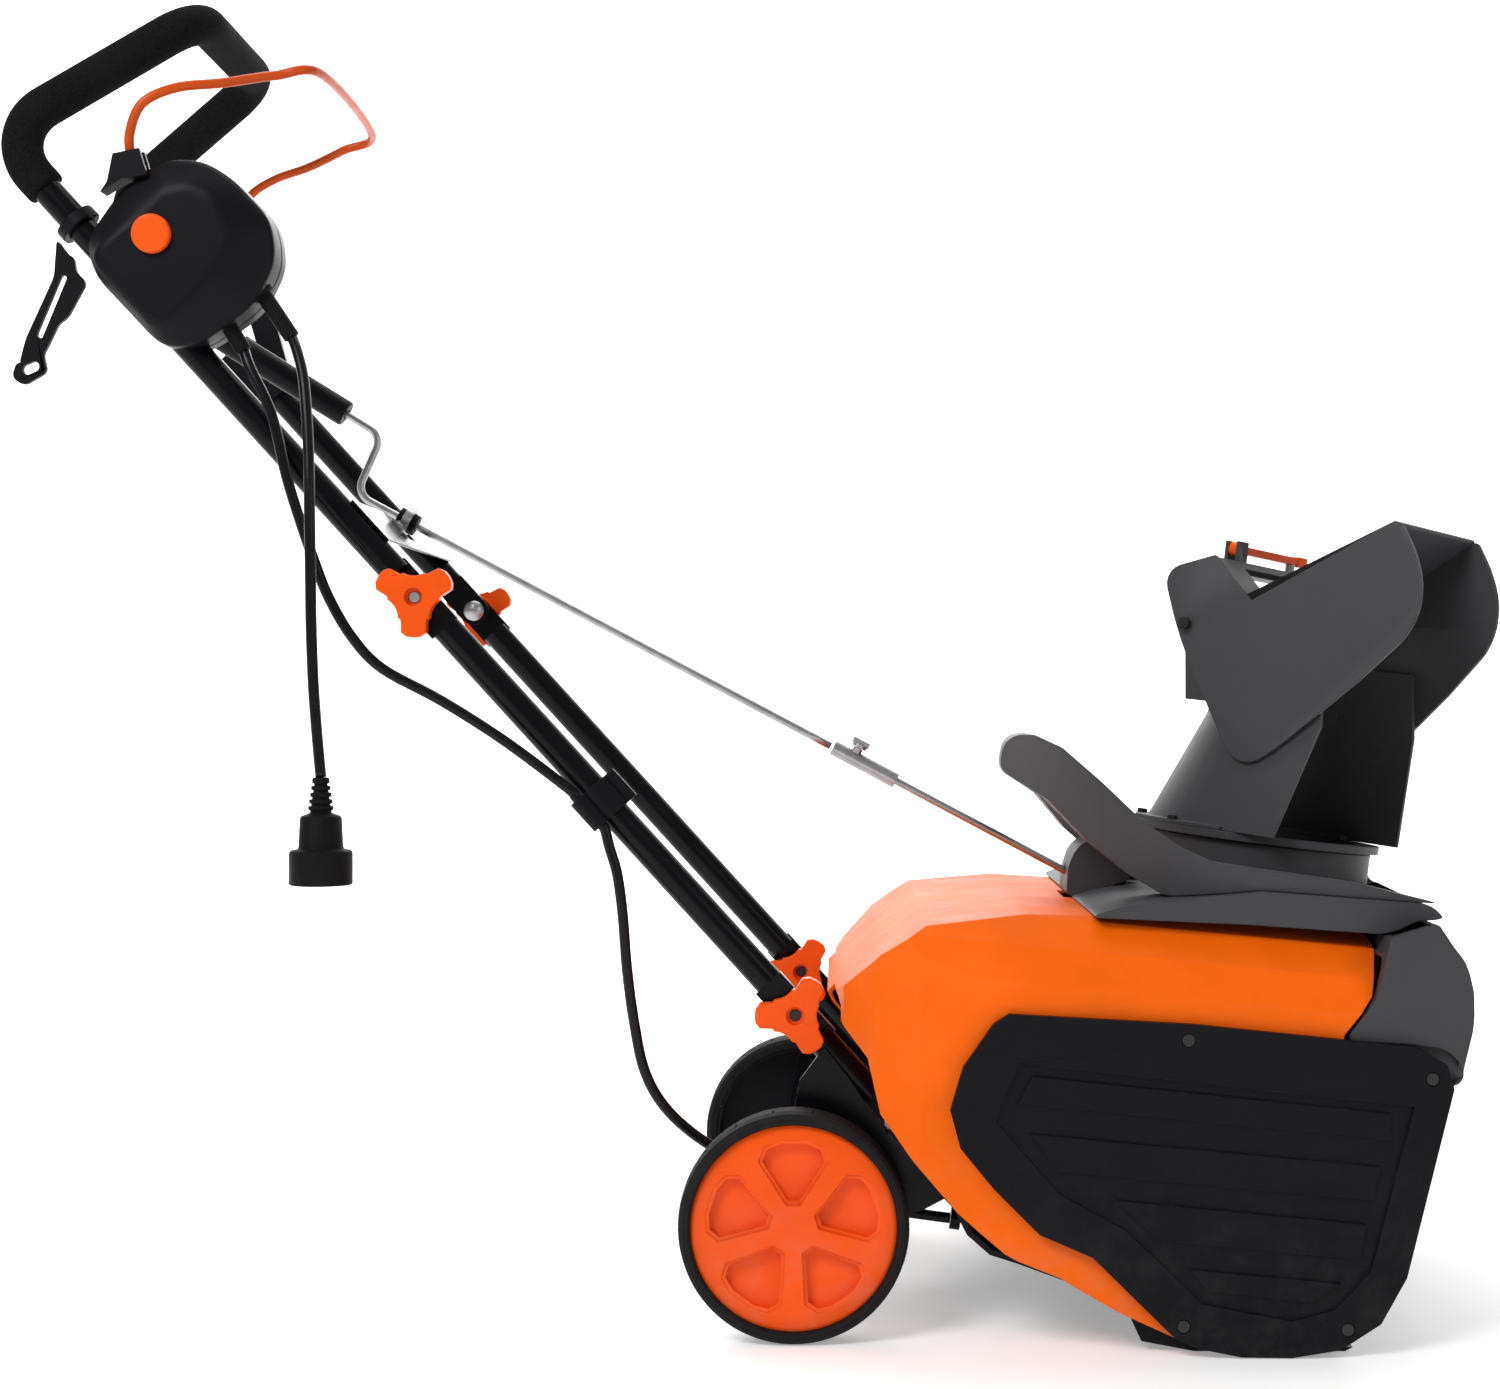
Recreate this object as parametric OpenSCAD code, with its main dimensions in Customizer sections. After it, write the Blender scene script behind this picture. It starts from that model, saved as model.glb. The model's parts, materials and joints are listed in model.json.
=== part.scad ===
// Electric snow blower: a single-stage auger housing on two wheels, with a swivelling
// chute, a folding tube handle, a switch box with a bail, and a crank for the chute.
// X points forward, Y to the operator's left, Z up. Side outlines are [x, z] points,
// measured forward from a datum 31.6 mm ahead of the wheel axle.

/* [Wheels] */
// Tyre diameter
tyre_d = 165; // [160:1:168]
// Tyre width
tyre_w = 40; // [34:1:42]
// Distance between the outer faces of the tyres
track_outer = 424; // [420:1:430]

/* [Handle] */
// Diameter of the handle tubes
tube_d = 22; // [20:0.5:22]
// Wall of the handle tubes
tube_wall = 1.2; // [1:0.1:2]
// Diameter of the foam grip
foam_d = 30; // [28:1:32]

/* [Housing] */
// Overall width over the side covers
housing_w = 486; // [484:1:490]
// Diameter swept by the rotor paddles
rotor_d = 194; // [180:1:196]

/* [Chute] */
// Direction the chute faces, turned from straight ahead to the operator's right
chute_turn = 45; // [30:1:60]
// Forward lean of the chute's swivel axis
chute_lean = 7; // [5:1:9]

/* [Hidden] */

$fn = 48;

// Row origin: the middle of the machine's box, so side outlines move forward by this
x_shift = 54.8;
eps = 0.3;
run = 0.05;

side_y = housing_w / 2;
shroud_y = side_y - 8;
plate_y = side_y - 15;
tube_r = tube_d / 2;
tube_y = 141;
wheel_y = track_outer / 2;
axle = [-31.6, tyre_d / 2];
axle_r = 6;
lower_pivot = [-31, 228];
upper_pivot = [-308, 532];
pivot_r = 4;
tongue_r = 12;
tongue_len = 30;
tongue_t = 10.6;
rotor_axis = [305, 108];
rotor_shaft_r = 8.5;
scoop_r = 105;
scoop_wall = 3.5;
motor_axis = [130, 190];
motor_shaft_r = 5;
rotor_pulley_r = 46;
motor_pulley_r = 14;
belt_t = 3;
belt_y0 = -(side_y - 6.2);
belt_w = 6.6;
chute_base = [331, 350];
collar_r = 90;
rod_r = 3;
rod_a = [-382, 620];
rod_b = [178, 322.6];
hood_pivot = [-32, 158];

// ---- small helpers ----

function unit(v) = v / norm(v);
function at3(p, y) = [p.x, y, p.y];
function lerp(a, b, t) = a + (b - a) * t;

// Moves side outlines into the row frame
module machine() {
  translate([x_shift, 0, 0]) children();
}

// A 2D [x, z] outline made solid from y0 to y1
module slab(y0, y1) {
  translate([0, y1, 0]) rotate([90, 0, 0]) linear_extrude(y1 - y0) children();
}

// A pin or hole along Y at a side point
module pin_y(p, y0, y1, r) {
  translate([p.x, y0, p.y]) rotate([-90, 0, 0]) cylinder(h = y1 - y0, r = r);
}

// A 2D profile made solid along a straight line
module straight(p, q) {
  d = q - p;
  translate(p) rotate([0, acos(d.z / norm(d)), atan2(d.y, d.x)])
    linear_extrude(norm(d)) children();
}

// Points of a round bend of radius rb at q, on the way from p to r
bend_steps = 5;
function bend_points(p, q, r, rb) =
  let (a = unit(q - p), b = unit(r - q), turn = acos(a * b), n = unit(b - a * (a * b)),
    c = q - a * (rb * tan(turn / 2)) + n * rb)
  [for (k = [0:bend_steps]) let (t = turn * k / bend_steps) c - n * (rb * cos(t)) + a * (rb * sin(t))];

// Points joined by straight runs and round bends
function bent_path(pts, rb) = concat([pts[0]],
  [for (i = [1:len(pts) - 2], q = bend_points(pts[i - 1], pts[i], pts[i + 1], rb)) q],
  [pts[len(pts) - 1]]);

// Rings of points round a path, their frames carried along it without twist
function path_rings(p, r, sides) =
  let (n = len(p),
    dirs = [for (i = [0:n - 1]) unit(p[min(i + 1, n - 1)] - p[max(i - 1, 0)])],
    first = unit(cross(dirs[0], [0, 1, 0])),
    across = [for (i = 0, u = first; i < n; i = i + 1,
      u = i < n ? unit(u - dirs[i] * (u * dirs[i])) : u) u])
  [for (i = [0:n - 1], k = [0:sides - 1])
    p[i] + r * (across[i] * cos(360 * k / sides) + cross(dirs[i], across[i]) * sin(360 * k / sides))];

// Triangles of a wall between n rings that start at point s0; inward ones face the other way
function ring_walls(n, sides, s0, inward = false) =
  [for (i = [0:n - 2], k = [0:sides - 1], half = [0, 1])
    let (a = s0 + i * sides + k, b = s0 + i * sides + (k + 1) % sides,
      t = half == 0 ? [b + sides, b, a] : [a + sides, b + sides, a])
    inward ? [t[2], t[1], t[0]] : t];

// A round cord along a path, as one closed polyhedron
module cord(p, r, sides) {
  n = len(p);
  caps = [[for (k = [0:sides - 1]) k], [for (k = [0:sides - 1]) n * sides - 1 - k]];
  polyhedron(points = path_rings(p, r, sides), faces = concat(ring_walls(n, sides, 0), caps),
    convexity = 6);
}

// A bent tube of outer radius ro and inner radius ri, as one closed polyhedron
module bent_tube(p, ro, ri, sides = 16) {
  n = len(p);
  m = n * sides;
  rims = [for (k = [0:sides - 1], half = [0, 1])
    let (a = k, b = (k + 1) % sides) half == 0 ? [m + b, m + a, a] : [b, m + b, a]];
  last = m - sides;
  far_rims = [for (k = [0:sides - 1], half = [0, 1])
    let (a = last + k, b = last + (k + 1) % sides) half == 0 ? [m + a, m + b, a] : [m + b, b, a]];
  polyhedron(points = concat(path_rings(p, ro, sides), path_rings(p, ri, sides)),
    faces = concat(ring_walls(n, sides, 0), ring_walls(n, sides, m, true), rims, far_rims),
    convexity = 8);
}

module ring2d(ro, ri) {
  difference() {
    circle(r = ro);
    circle(r = ri);
  }
}

// Smooth route through hand-chosen points
function route_at(p, i, t) =
  let (a = p[max(i - 1, 0)], b = p[i], c = p[i + 1], d = p[min(i + 2, len(p) - 1)])
  0.5 * (2 * b + (c - a) * t + (2 * a - 5 * b + 4 * c - d) * t * t
    + (3 * b - a - 3 * c + d) * t * t * t);
function smooth_route(p, steps) = concat(
  [for (i = [0:len(p) - 2], k = [0:steps - 1]) route_at(p, i, k / steps)], [p[len(p) - 1]]);

// The frame of the handle tubes: s runs up the tube from the upper pivot, n away from it
tube_up = unit(upper_pivot - lower_pivot);
tube_out = [tube_up.y, -tube_up.x];
function on_tube(s, n = 0) = upper_pivot + tube_up * s + tube_out * n;
tube_span = norm(upper_pivot - lower_pivot);
function on_lower(s) = lower_pivot + tube_up * s;
module tube_frame(p, y) {
  translate([p.x, y, p.y]) rotate([0, atan2(tube_up.x, tube_up.y), 0]) children();
}

// A flattened tube end round a pivot, with its bolt hole
module tongue(p, dir, y0, y1) {
  difference() {
    slab(y0, y1) union() {
      translate(p) circle(r = tongue_r);
      translate(p) rotate(atan2(dir.y, dir.x)) translate([0, -tongue_r])
        square([tongue_len, 2 * tongue_r]);
    }
    pin_y(p, y0 - 1, y1 + 1, pivot_r + run);
  }
}

module mirror_y(left) {
  mirror([0, left ? 1 : 0, 0]) children();
}

// ---- auger housing and covers ----

side_plate_pts = [[112, 150], [112, 228], [200, 246], [218, 252], [226, 277], [380, 277], [385, 284],
  [438, 262], [438, 190],
  [426, 186], [394, 58], [376, 26], [348, 9], [315, 4], [282, 4], [236, 17], [180, 72], [140, 90]];
front_panel_pts = [[357, 224], [376, 249], [382.5, 277], [385.5, 291], [419, 301], [431, 283],
  [437, 276], [443.5, 259], [444, 231], [434, 190], [424, 186], [357, 205]];
cover_pts = [[119, 239], [246, 232], [402, 216], [423, 204], [428, 187], [395, 56], [377, 24],
  [349, 6], [315, 0.5], [280, 1], [250, 7], [234, 14], [177, 70], [140, 86], [108, 118],
  [85, 146], [78, 172], [87, 202], [108, 232]];
recess_pts = [[126, 205], [400, 175], [370, 61], [345, 34], [315, 26], [253, 38], [200, 89],
  [154, 114], [109, 165]];
rib_pts = [
  [[135, 196], [384, 170], [384, 152], [125, 177]],
  [[133, 156], [377, 133], [372, 110], [154, 130]],
  [[192, 110], [367, 93], [362, 69], [223, 82]],
  [[244, 62], [349, 52], [329, 39], [257, 47]]];
cover_screws = [[243.5, 221], [413, 194], [354, 20], [240, 22.3]];

module housing_outline() {
  translate(rotor_axis) circle(r = scoop_r);
  polygon([[200, 108], [206, 200], [229, 280], [383, 280], [387, 291], [419, 291],
    [431, 281], [443, 261], [444, 230],
    [436, 190], [305, 108]]);
  polygon([[305, 3], [354, 3], [356, 9], [349, 12], [305, 12]]);
}

module housing_inside() {
  translate(rotor_axis) circle(r = scoop_r - scoop_wall);
  polygon([[203.5, 108], [209.5, 199], [232, 276.5], [386, 276.5], [390, 287.5],
    [417, 287.5], [428, 279], [439.5, 260],
    [440.5, 231], [432, 190], [460, 190], [460, 9], [352, 9], [305, 6.5]]);
}

module chute_hole(r, h0, h1) {
  translate([chute_base.x, 0, chute_base.y]) rotate([0, chute_lean, 0])
    translate([0, 0, h0]) cylinder(h = h1 - h0, r = r);
}

// Everything above the sloping roof line, which the shroud covers; the row of points is one side's
roof_start = [-100, 305];
roof_tilt = 5.5;
module above_roof(pts, reach) {
  for (left = [false, true]) mirror_y(left) translate([roof_start.x, 0, roof_start.y])
    rotate([0, roof_tilt, 0]) rotate([90, 0, 90]) linear_extrude(reach) polygon(pts);
}

module housing_side() {
  difference() {
    union() {
      difference() {
        slab(-plate_y, -plate_y + 3) polygon(side_plate_pts);
        above_roof(housing_chamfer, 482);
      }
      slab(-shroud_y, -plate_y + 3) difference() {
        polygon(front_panel_pts);
        polygon([[424, 214], [434, 204], [438, 196], [424, 186], [357, 205], [357, 220], [402, 217]]);
      }
    }
    pin_y(rotor_axis, -plate_y - 1, -plate_y + 4, 20 + run);
    pin_y(motor_axis, -plate_y - 1, -plate_y + 4, motor_shaft_r + 4);
    for (p = cover_screws) pin_y(p, -plate_y - 1, -plate_y + 4, 1.9);
  }
}

housing_chamfer = [[-260, -42], [-240, -38], [-222, -12], [-200, 12], [-200, 80], [-260, 80]];

module auger_housing() {
  color([0.14, 0.14, 0.15]) {
    difference() {
      slab(-plate_y, plate_y) difference() {
        housing_outline();
        housing_inside();
      }
      chute_hole(collar_r - 8, -90, 20);
      above_roof(housing_chamfer, 482);
    }
    slab(-shroud_y, shroud_y) polygon([[413, 301], [419, 301], [431, 283], [437, 276], [443.5, 259],
      [444, 231], [436, 200], [432.5, 201], [440.5, 232], [440, 258], [434, 274], [427, 281], [417, 297]]);
    housing_side();
    mirror_y(true) housing_side();
  }
}

shroud_pts = [[-8, 240], [30, 277], [62, 298], [133, 305], [173, 303.5], [289, 298], [385, 289.5],
  [382, 277], [374, 249], [355, 223], [340, 200], [300, 60], [245, 8], [196, 30], [168, 46],
  [155, 54], [125, 66], [116, 71], [84, 98.5], [51, 136], [30, 164.5], [21, 203], [-4.5, 232.5]];

module shroud_body() {
  intersection() {
    slab(-shroud_y, shroud_y) polygon(shroud_pts);
    linear_extrude(400) polygon([[400, -shroud_y], [100, -shroud_y], [58, -shroud_y + 6],
      [26, -shroud_y + 25], [4, -shroud_y + 55], [-10, -100], [-10, 100], [4, shroud_y - 55],
      [26, shroud_y - 25], [58, shroud_y - 6], [100, shroud_y], [400, shroud_y]]);
    translate([roof_start.x, 0, roof_start.y]) rotate([0, roof_tilt, 0]) rotate([90, 0, 90])
      linear_extrude(600) polygon([[-shroud_y, -400], [-shroud_y, -22], [-shroud_y + 14, 2],
        [-shroud_y + 34, 22], [-150, 34], [150, 34], [shroud_y - 34, 22], [shroud_y - 14, 2],
        [shroud_y, -22], [shroud_y, -400]]);
  }
}

module motor_shroud() {
  color([0.95, 0.38, 0.08]) difference() {
    shroud_body();
    translate([190, 0, 170]) scale(0.983) translate([-190, 0, -170]) shroud_body();
    for (p = cover_screws) pin_y(p, -side_y, side_y, 2.2);
    // open to the auger housing, the front and the belt side
    difference() {
      slab(-plate_y - eps, plate_y + eps) polygon([[196, 0], [196, 108], [204, 214], [226, 281.5],
        [386, 281.5], [386, 330], [460, 330], [460, -20], [300, -20]]);
      above_roof([[-260, -40], [-240, -36], [-222, -10], [-200, 14], [-200, 80], [-260, 80]], 600);
    }
    slab(-side_y, side_y) polygon([[127, 228], [240, 222], [355, 212], [352, 90], [262, 20],
      [240, 24], [186, 78], [146, 96], [116, 126], [94, 152], [89, 170], [97, 200]]);
    slab(-side_y, side_y) polygon([[353, 223.5], [374, 249.5], [380.5, 277.5], [385, 320], [460, 320],
      [460, 0], [270, 0], [345, 100]]);
    slab(-150, 150) polygon([[20, 160], [90, 100], [200, 36], [200, 20], [60, 60]]);
    // opening under the chute collar
    slab(-120, 120) polygon([[236, 280], [236, 330], [420, 330], [420, 280]]);
    slab(-34, 34) polygon([[176, 290], [176, 330], [240, 330], [240, 290]]);
    for (y = [-tube_y, tube_y])
      straight(at3(on_lower(26), y), at3(on_lower(-108), y)) circle(r = tube_r + 1);
    for (y = [-tube_y, tube_y]) pin_y(lower_pivot, y - 28, y + 28, 34);
  }
}

module side_cover() {
  difference() {
    union() {
      difference() {
        slab(-side_y, -shroud_y - eps) polygon(cover_pts);
        slab(-side_y - 1, -side_y + 3) polygon(recess_pts);
      }
      for (p = rib_pts) slab(-side_y + 0.6, -side_y + 3.5) polygon(p);
    }
    translate([255, 0, 122]) slab(-side_y + 5, -shroud_y + 1) scale(0.94) translate([-255, -122])
      polygon(cover_pts);
    for (p = cover_screws) {
      pin_y(p, -side_y - 1, -shroud_y + 1, 2.2);
      pin_y(p, -side_y - 1, -side_y + 2.6, 5);
    }
  }
}

module side_cover_right() {
  color([0.13, 0.13, 0.14]) side_cover();
}

module side_cover_left() {
  color([0.13, 0.13, 0.14]) mirror_y(true) side_cover();
}

deck_pts = [[176, 303.5], [200, 311], [262, 318], [300, 322], [419, 313], [429, 303], [421, 301.3],
  [410, 301.3], [390, 291.4], [289, 298.4]];

module chute_collar() {
  color([0.2, 0.2, 0.21]) difference() {
    union() {
      slab(-shroud_y + 24, shroud_y - 24) polygon(deck_pts);
      intersection() {
        chute_hole(collar_r, -62, -4);
        slab(-100, 100) polygon([[230, 296], [230, 380], [440, 380], [440, 292]]);
      }
    }
    chute_hole(collar_r - 6, -90, 10);
    slab(-40, 40) polygon([[170, 290], [170, 330], [232, 330], [232, 290]]);
    slab(-shroud_y, shroud_y) polygon([[411, 280], [411, 301.3], [440, 301.3], [440, 280]]);
  }
}

// Carry handle: a horseshoe band round the back of the chute
band_side = [[134, 430], [152, 430], [170, 421], [196, 396], [222, 369], [246, 352], [270, 341],
  [370, 327], [426, 313], [419, 313.3], [300, 322.3], [262, 318.5], [236, 315.6],
  [212, 330], [186, 352], [160, 381], [146, 390], [124, 404]];
band_outer = [[430, 208], [300, 207], [264, 197], [228, 168], [192, 124], [164, 78], [140, 34],
  [128, 12]];
band_inner = [[430, 186], [304, 185], [276, 177], [244, 150], [210, 108], [184, 66], [166, 30],
  [156, 10]];

module plan_outline(pts) {
  polygon(concat(pts, [for (i = [len(pts) - 1:-1:0]) [pts[i].x, -pts[i].y]]));
}

module carry_band() {
  intersection() {
    slab(-230, 230) polygon(band_side);
    linear_extrude(500) difference() {
      plan_outline(band_outer);
      plan_outline(concat([[460, 186]], band_inner));
    }
  }
}

// The wedge behind the collar that holds the crank's worm
module worm_tower() {
  slab(-30, 30) difference() {
    polygon([[178, 304], [180, 332], [192, 348], [232, 352], [232, 312], [214, 304]]);
    polygon([[186, 300], [188, 328], [196, 340], [240, 344], [240, 300]]);
  }
  for (y = [-30, 26]) slab(y, y + 4)
    polygon([[178, 304], [180, 332], [192, 348], [232, 352], [232, 318], [214, 312]]);
}

module carry_handle() {
  color([0.24, 0.24, 0.25]) difference() {
    union() {
      carry_band();
      worm_tower();
    }
    straight(at3(lerp(rod_b, rod_a, -0.05), 0), at3(lerp(rod_b, rod_a, 0.05), 0))
      circle(r = rod_r + eps);
  }
}

module scraper_bar() {
  color([0.1, 0.1, 0.11]) difference() {
    slab(-plate_y + 5, plate_y - 5)
      polygon([[206, 22], [213, 7], [250, 0], [356, 0], [362, 3], [356, 2.7], [300, 2.7], [240, 34]]);
    pin_y(rotor_axis, -side_y, side_y, scoop_r + 0.1);
  }
}

module base_pan() {
  color([0.08, 0.08, 0.09]) difference() {
    union() {
      slab(-198, 198) polygon([[34, 147], [51, 128], [82, 95], [92, 76], [108, 62], [127, 56],
        [160, 44], [197, 26], [199, 30], [161, 48], [128, 60], [110, 66], [95, 79], [85, 98],
        [54, 131], [37, 150]]);
      translate([92, -95, 65.4]) rotate([0, -82, 0]) cylinder(h = 7.6, r = 8);
    }
    translate([-0.2, 0, -0.2]) slab(-210, 210) polygon(shroud_pts);
    for (p = pan_bolts, y = [-142, 142])
      straight(at3(p + pan_normal * 6, y), at3(p - pan_normal * 6, y)) circle(r = 3.1);
  }
}

pan_bolts = [[58, 121], [74, 104]];
pan_normal = unit([-33, -31]);

// ---- frame, wheels ----

module frame_tube() {
  difference() {
    union() {
      tube_run(on_lower(-24), on_lower(-84), -tube_y);
      tongue(lower_pivot, -tube_up, -tube_y + 0.4, -tube_y + tongue_t + 0.4);
    }
    slab(-170, -100) polygon([[30, 100], [51, 128], [34, 147.2], [20, 164], [-20, 130]]);
  }
}

module tube_run(p, q, y) {
  straight(at3(p, y), at3(q, y)) ring2d(tube_r, tube_r - tube_wall);
}

module frame_tubes() {
  color([0.05, 0.05, 0.06]) {
    frame_tube();
    mirror_y(true) frame_tube();
  }
}

module wheel_bracket() {
  difference() {
    slab(-tube_y - tube_r - 3.3, -tube_y - tube_r - eps) union() {
      translate(axle) circle(r = 17);
      polygon([[-48, 78], [-28, 180], [-10, 204], [6, 184], [20, 163.5], [33, 147], [50, 128],
        [81, 95], [60, 84], [-20, 66]]);
    }
    pin_y(axle, -170, -130, axle_r + run);
  }
  // lip bolted to the pan
  slab(-tube_y - tube_r - 3.3, -tube_y - tube_r + 20)
    polygon([[49, 129], [80, 95.8], [78, 93.6], [47, 126.8]]);
}

module wheel_brackets() {
  color([0.07, 0.07, 0.08]) for (left = [false, true]) mirror_y(left) difference() {
    wheel_bracket();
    for (p = pan_bolts)
      straight(at3(p + pan_normal * 8, -142), at3(p - pan_normal * 8, -142)) circle(r = 3.1);
  }
}

module axle_and_washers() {
  color([0.62, 0.62, 0.64]) {
    pin_y(axle, -wheel_y + 14, wheel_y - 14, axle_r);
    for (y = [-wheel_y + tyre_w + 5.6, wheel_y - tyre_w - 7.1]) translate([axle.x, y, axle.y])
      rotate([-90, 0, 0]) difference() {
        cylinder(h = 1.5, r = 12);
        translate([0, 0, -1]) cylinder(h = 4, r = axle_r + run);
      }
  }
}

// Wheel disc seen from outside: rim, bulged face, five rounded-triangle recesses
module wheel() {
  rim_r = 73.5;
  difference() {
    translate([axle.x, -wheel_y, axle.y]) rotate([-90, 0, 0]) difference() {
      rotate_extrude() polygon([[0, 0.5], [30, 1], [60, 3.5], [rim_r - 3, 5.5], [rim_r, 7], [rim_r, 36],
        [rim_r - 3, 36], [rim_r - 3, 16], [15, 15], [14, 45], [0, 45]]);
      translate([0, 0, 12]) cylinder(h = 40, r = axle_r + run);
    }
    for (i = [0:4]) translate([axle.x, 0, axle.y]) rotate([0, 72 * i, 0]) {
      slab(-wheel_y - 1, -wheel_y + 11) polygon([[-4, 20], [4, 20], [22, 48], [19, 56], [9, 60], [-9, 60],
        [-19, 56], [-22, 48]]);
      slab(-wheel_y - 1, -wheel_y + 4.6) polygon([[-5, 17], [5, 17], [25, 48], [21, 58], [10, 63],
        [-10, 63], [-21, 58], [-25, 48]]);
    }
  }
}

module tyre() {
  tyre_r = tyre_d / 2;
  translate([axle.x, -wheel_y, axle.y]) rotate([-90, 0, 0]) difference() {
    rotate_extrude() polygon([[73.5 + 0.1, 3], [75.5, 0.8], [79, 1.2], [81.5, 4], [tyre_r - 0.8, 7],
      [tyre_r, 12], [tyre_r, tyre_w - 12], [tyre_r - 0.8, tyre_w - 7], [81.5, tyre_w - 4],
      [79, tyre_w - 1.2], [73.5 + 0.1, tyre_w - 2]]);
    for (i = [0:35]) rotate([0, 0, 10 * i + (i % 2) * 2])
      translate([tyre_r - 0.9, -1, i % 2 == 0 ? -1 : tyre_w / 2 + 1])
      cube([4, 2, tyre_w / 2]);
  }
}

module wheel_right() {
  color([1, 0.42, 0.13]) wheel();
}

module tyre_right() {
  color([0.12, 0.12, 0.13]) tyre();
}

module wheel_left() {
  color([1, 0.42, 0.13]) mirror_y(true) wheel();
}

module tyre_left() {
  color([0.12, 0.12, 0.13]) mirror_y(true) tyre();
}

// ---- drive ----

module motor() {
  color([0.35, 0.36, 0.38]) {
    difference() {
      union() {
        pin_y(motor_axis, -plate_y + 3.2, -plate_y + 20, 45);
        pin_y(motor_axis, -plate_y + 20, -90, 42);
        pin_y(motor_axis, -90, -72, 34);
      }
      pin_y(motor_axis, -plate_y, -120, motor_shaft_r + 1);
    }
  }
}

// Belt outline round two pulleys, grown by g
module belt_loop(g) {
  d = motor_axis - rotor_axis;
  far = norm(d);
  tip = acos((rotor_pulley_r - motor_pulley_r) / far);
  base = atan2(d.y, d.x);
  big = rotor_pulley_r + g;
  small = motor_pulley_r + g;
  translate(rotor_axis) circle(r = big);
  translate(motor_axis) circle(r = small);
  polygon([
    rotor_axis + big * [cos(base + tip), sin(base + tip)],
    motor_axis + small * [cos(base + tip), sin(base + tip)],
    motor_axis + small * [cos(base - tip), sin(base - tip)],
    rotor_axis + big * [cos(base - tip), sin(base - tip)]]);
}

module drive_belt() {
  color([0.07, 0.07, 0.07]) slab(belt_y0 + 0.4, belt_y0 + belt_w) difference() {
    belt_loop(eps + belt_t);
    belt_loop(eps);
  }
}

module rotor_bearings() {
  color([0.7, 0.7, 0.72]) for (left = [false, true]) mirror_y(left)
    translate([rotor_axis.x, -plate_y + 0.5, rotor_axis.y]) rotate([-90, 0, 0]) difference() {
      cylinder(h = 12, r = 20);
      translate([0, 0, -1]) cylinder(h = 14, r = rotor_shaft_r + run);
    }
}

module rotor_shaft() {
  color([0.68, 0.68, 0.7]) pin_y(rotor_axis, belt_y0, plate_y - 1, rotor_shaft_r);
}

module rotor_drum() {
  color([0.2, 0.2, 0.21]) difference() {
    union() {
      pin_y(rotor_axis, -204, 204, 24);
      for (y = [-204, 200]) pin_y(rotor_axis, y, y + 4, 60);
    }
    pin_y(rotor_axis, -210, 210, rotor_shaft_r);
  }
}

// Two curved rubber flights a side, wound so that they carry snow to the middle
module rotor_flight() {
  r = rotor_d / 2;
  translate([rotor_axis.x, 0, rotor_axis.y]) rotate([-90, 0, 0]) translate([0, 0, 0.5])
    for (a = [0, 180]) linear_extrude(198, twist = 70, slices = 8) rotate(a)
      polygon([[25, -4], [r * 0.6, -9], [r - 2, -3], [r, 2], [r * 0.6, -2], [25, 5]]);
}

module rotor_paddles() {
  color([0.09, 0.09, 0.1]) {
    rotor_flight();
    mirror_y(true) rotor_flight();
  }
}

module rotor_pulley() {
  color([0.6, 0.6, 0.62]) difference() {
    union() {
      pin_y(rotor_axis, belt_y0 - 0.6, belt_y0 + belt_w + 0.4, rotor_pulley_r);
    }
    pin_y(rotor_axis, belt_y0 - 2, belt_y0 + 12, rotor_shaft_r);
    for (a = [0:60:300]) pin_y(rotor_axis + 28 * [cos(a), sin(a)], belt_y0 - 2, belt_y0 + 12, 9);
  }
}

module motor_pulley() {
  color([0.66, 0.66, 0.68]) {
    pin_y(motor_axis, belt_y0 - 0.6, belt_y0 + belt_w + 0.4, motor_pulley_r);
    pin_y(motor_axis, belt_y0 + belt_w, -121, motor_shaft_r);
  }
}

// ---- chute ----

// The chute's own frame: x out of the mouth, z up the swivel axis
module chute_frame() {
  translate([chute_base.x, 0, chute_base.y]) rotate([0, chute_lean, 0])
    rotate([0, 0, -chute_turn]) children();
}

module chute_ring() {
  color([0.2, 0.2, 0.21]) chute_frame() difference() {
    union() {
      translate([0, 0, -3]) cylinder(h = 6, r = collar_r + 6);
      translate([0, 0, -46]) cylinder(h = 44, r = collar_r - 6 - eps);
      for (a = [0:10:350]) rotate(a) translate([collar_r - 13, -2, -45]) cube([6, 4, 7]);
    }
    translate([0, 0, -60]) cylinder(h = 80, r = collar_r - 10);
    for (a = chute_screw_turns) rotate(a) translate([collar_r + 1.6, 0, -10]) cylinder(h = 20, r = 2.05);
  }
}

chute_screw_turns = [100, 150, 210, 260];

// U-shaped section of the chute: round at the back, straight walls to the front
module chute_section(r, front) {
  intersection() {
    union() {
      circle(r = r);
      translate([0, -r]) square([front, 2 * r]);
    }
    translate([-r - 1, -r - 1]) square([r + 1 + front, 2 * r + 2]);
  }
}

chute_h = 140;
module chute_form(grow, front) {
  hull() {
    translate([0, 0, 3.2]) linear_extrude(0.5) chute_section(87 + grow, front, $fn = 32);
    translate([20, 0, 90]) linear_extrude(0.5) chute_section(66 + grow, front - 4, $fn = 32);
  }
  hull() {
    translate([20, 0, 90]) linear_extrude(0.5) chute_section(66 + grow, front - 4, $fn = 32);
    translate([32, 0, chute_h]) linear_extrude(0.5) chute_section(64 + grow, front - 22, $fn = 32);
  }
}

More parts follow.
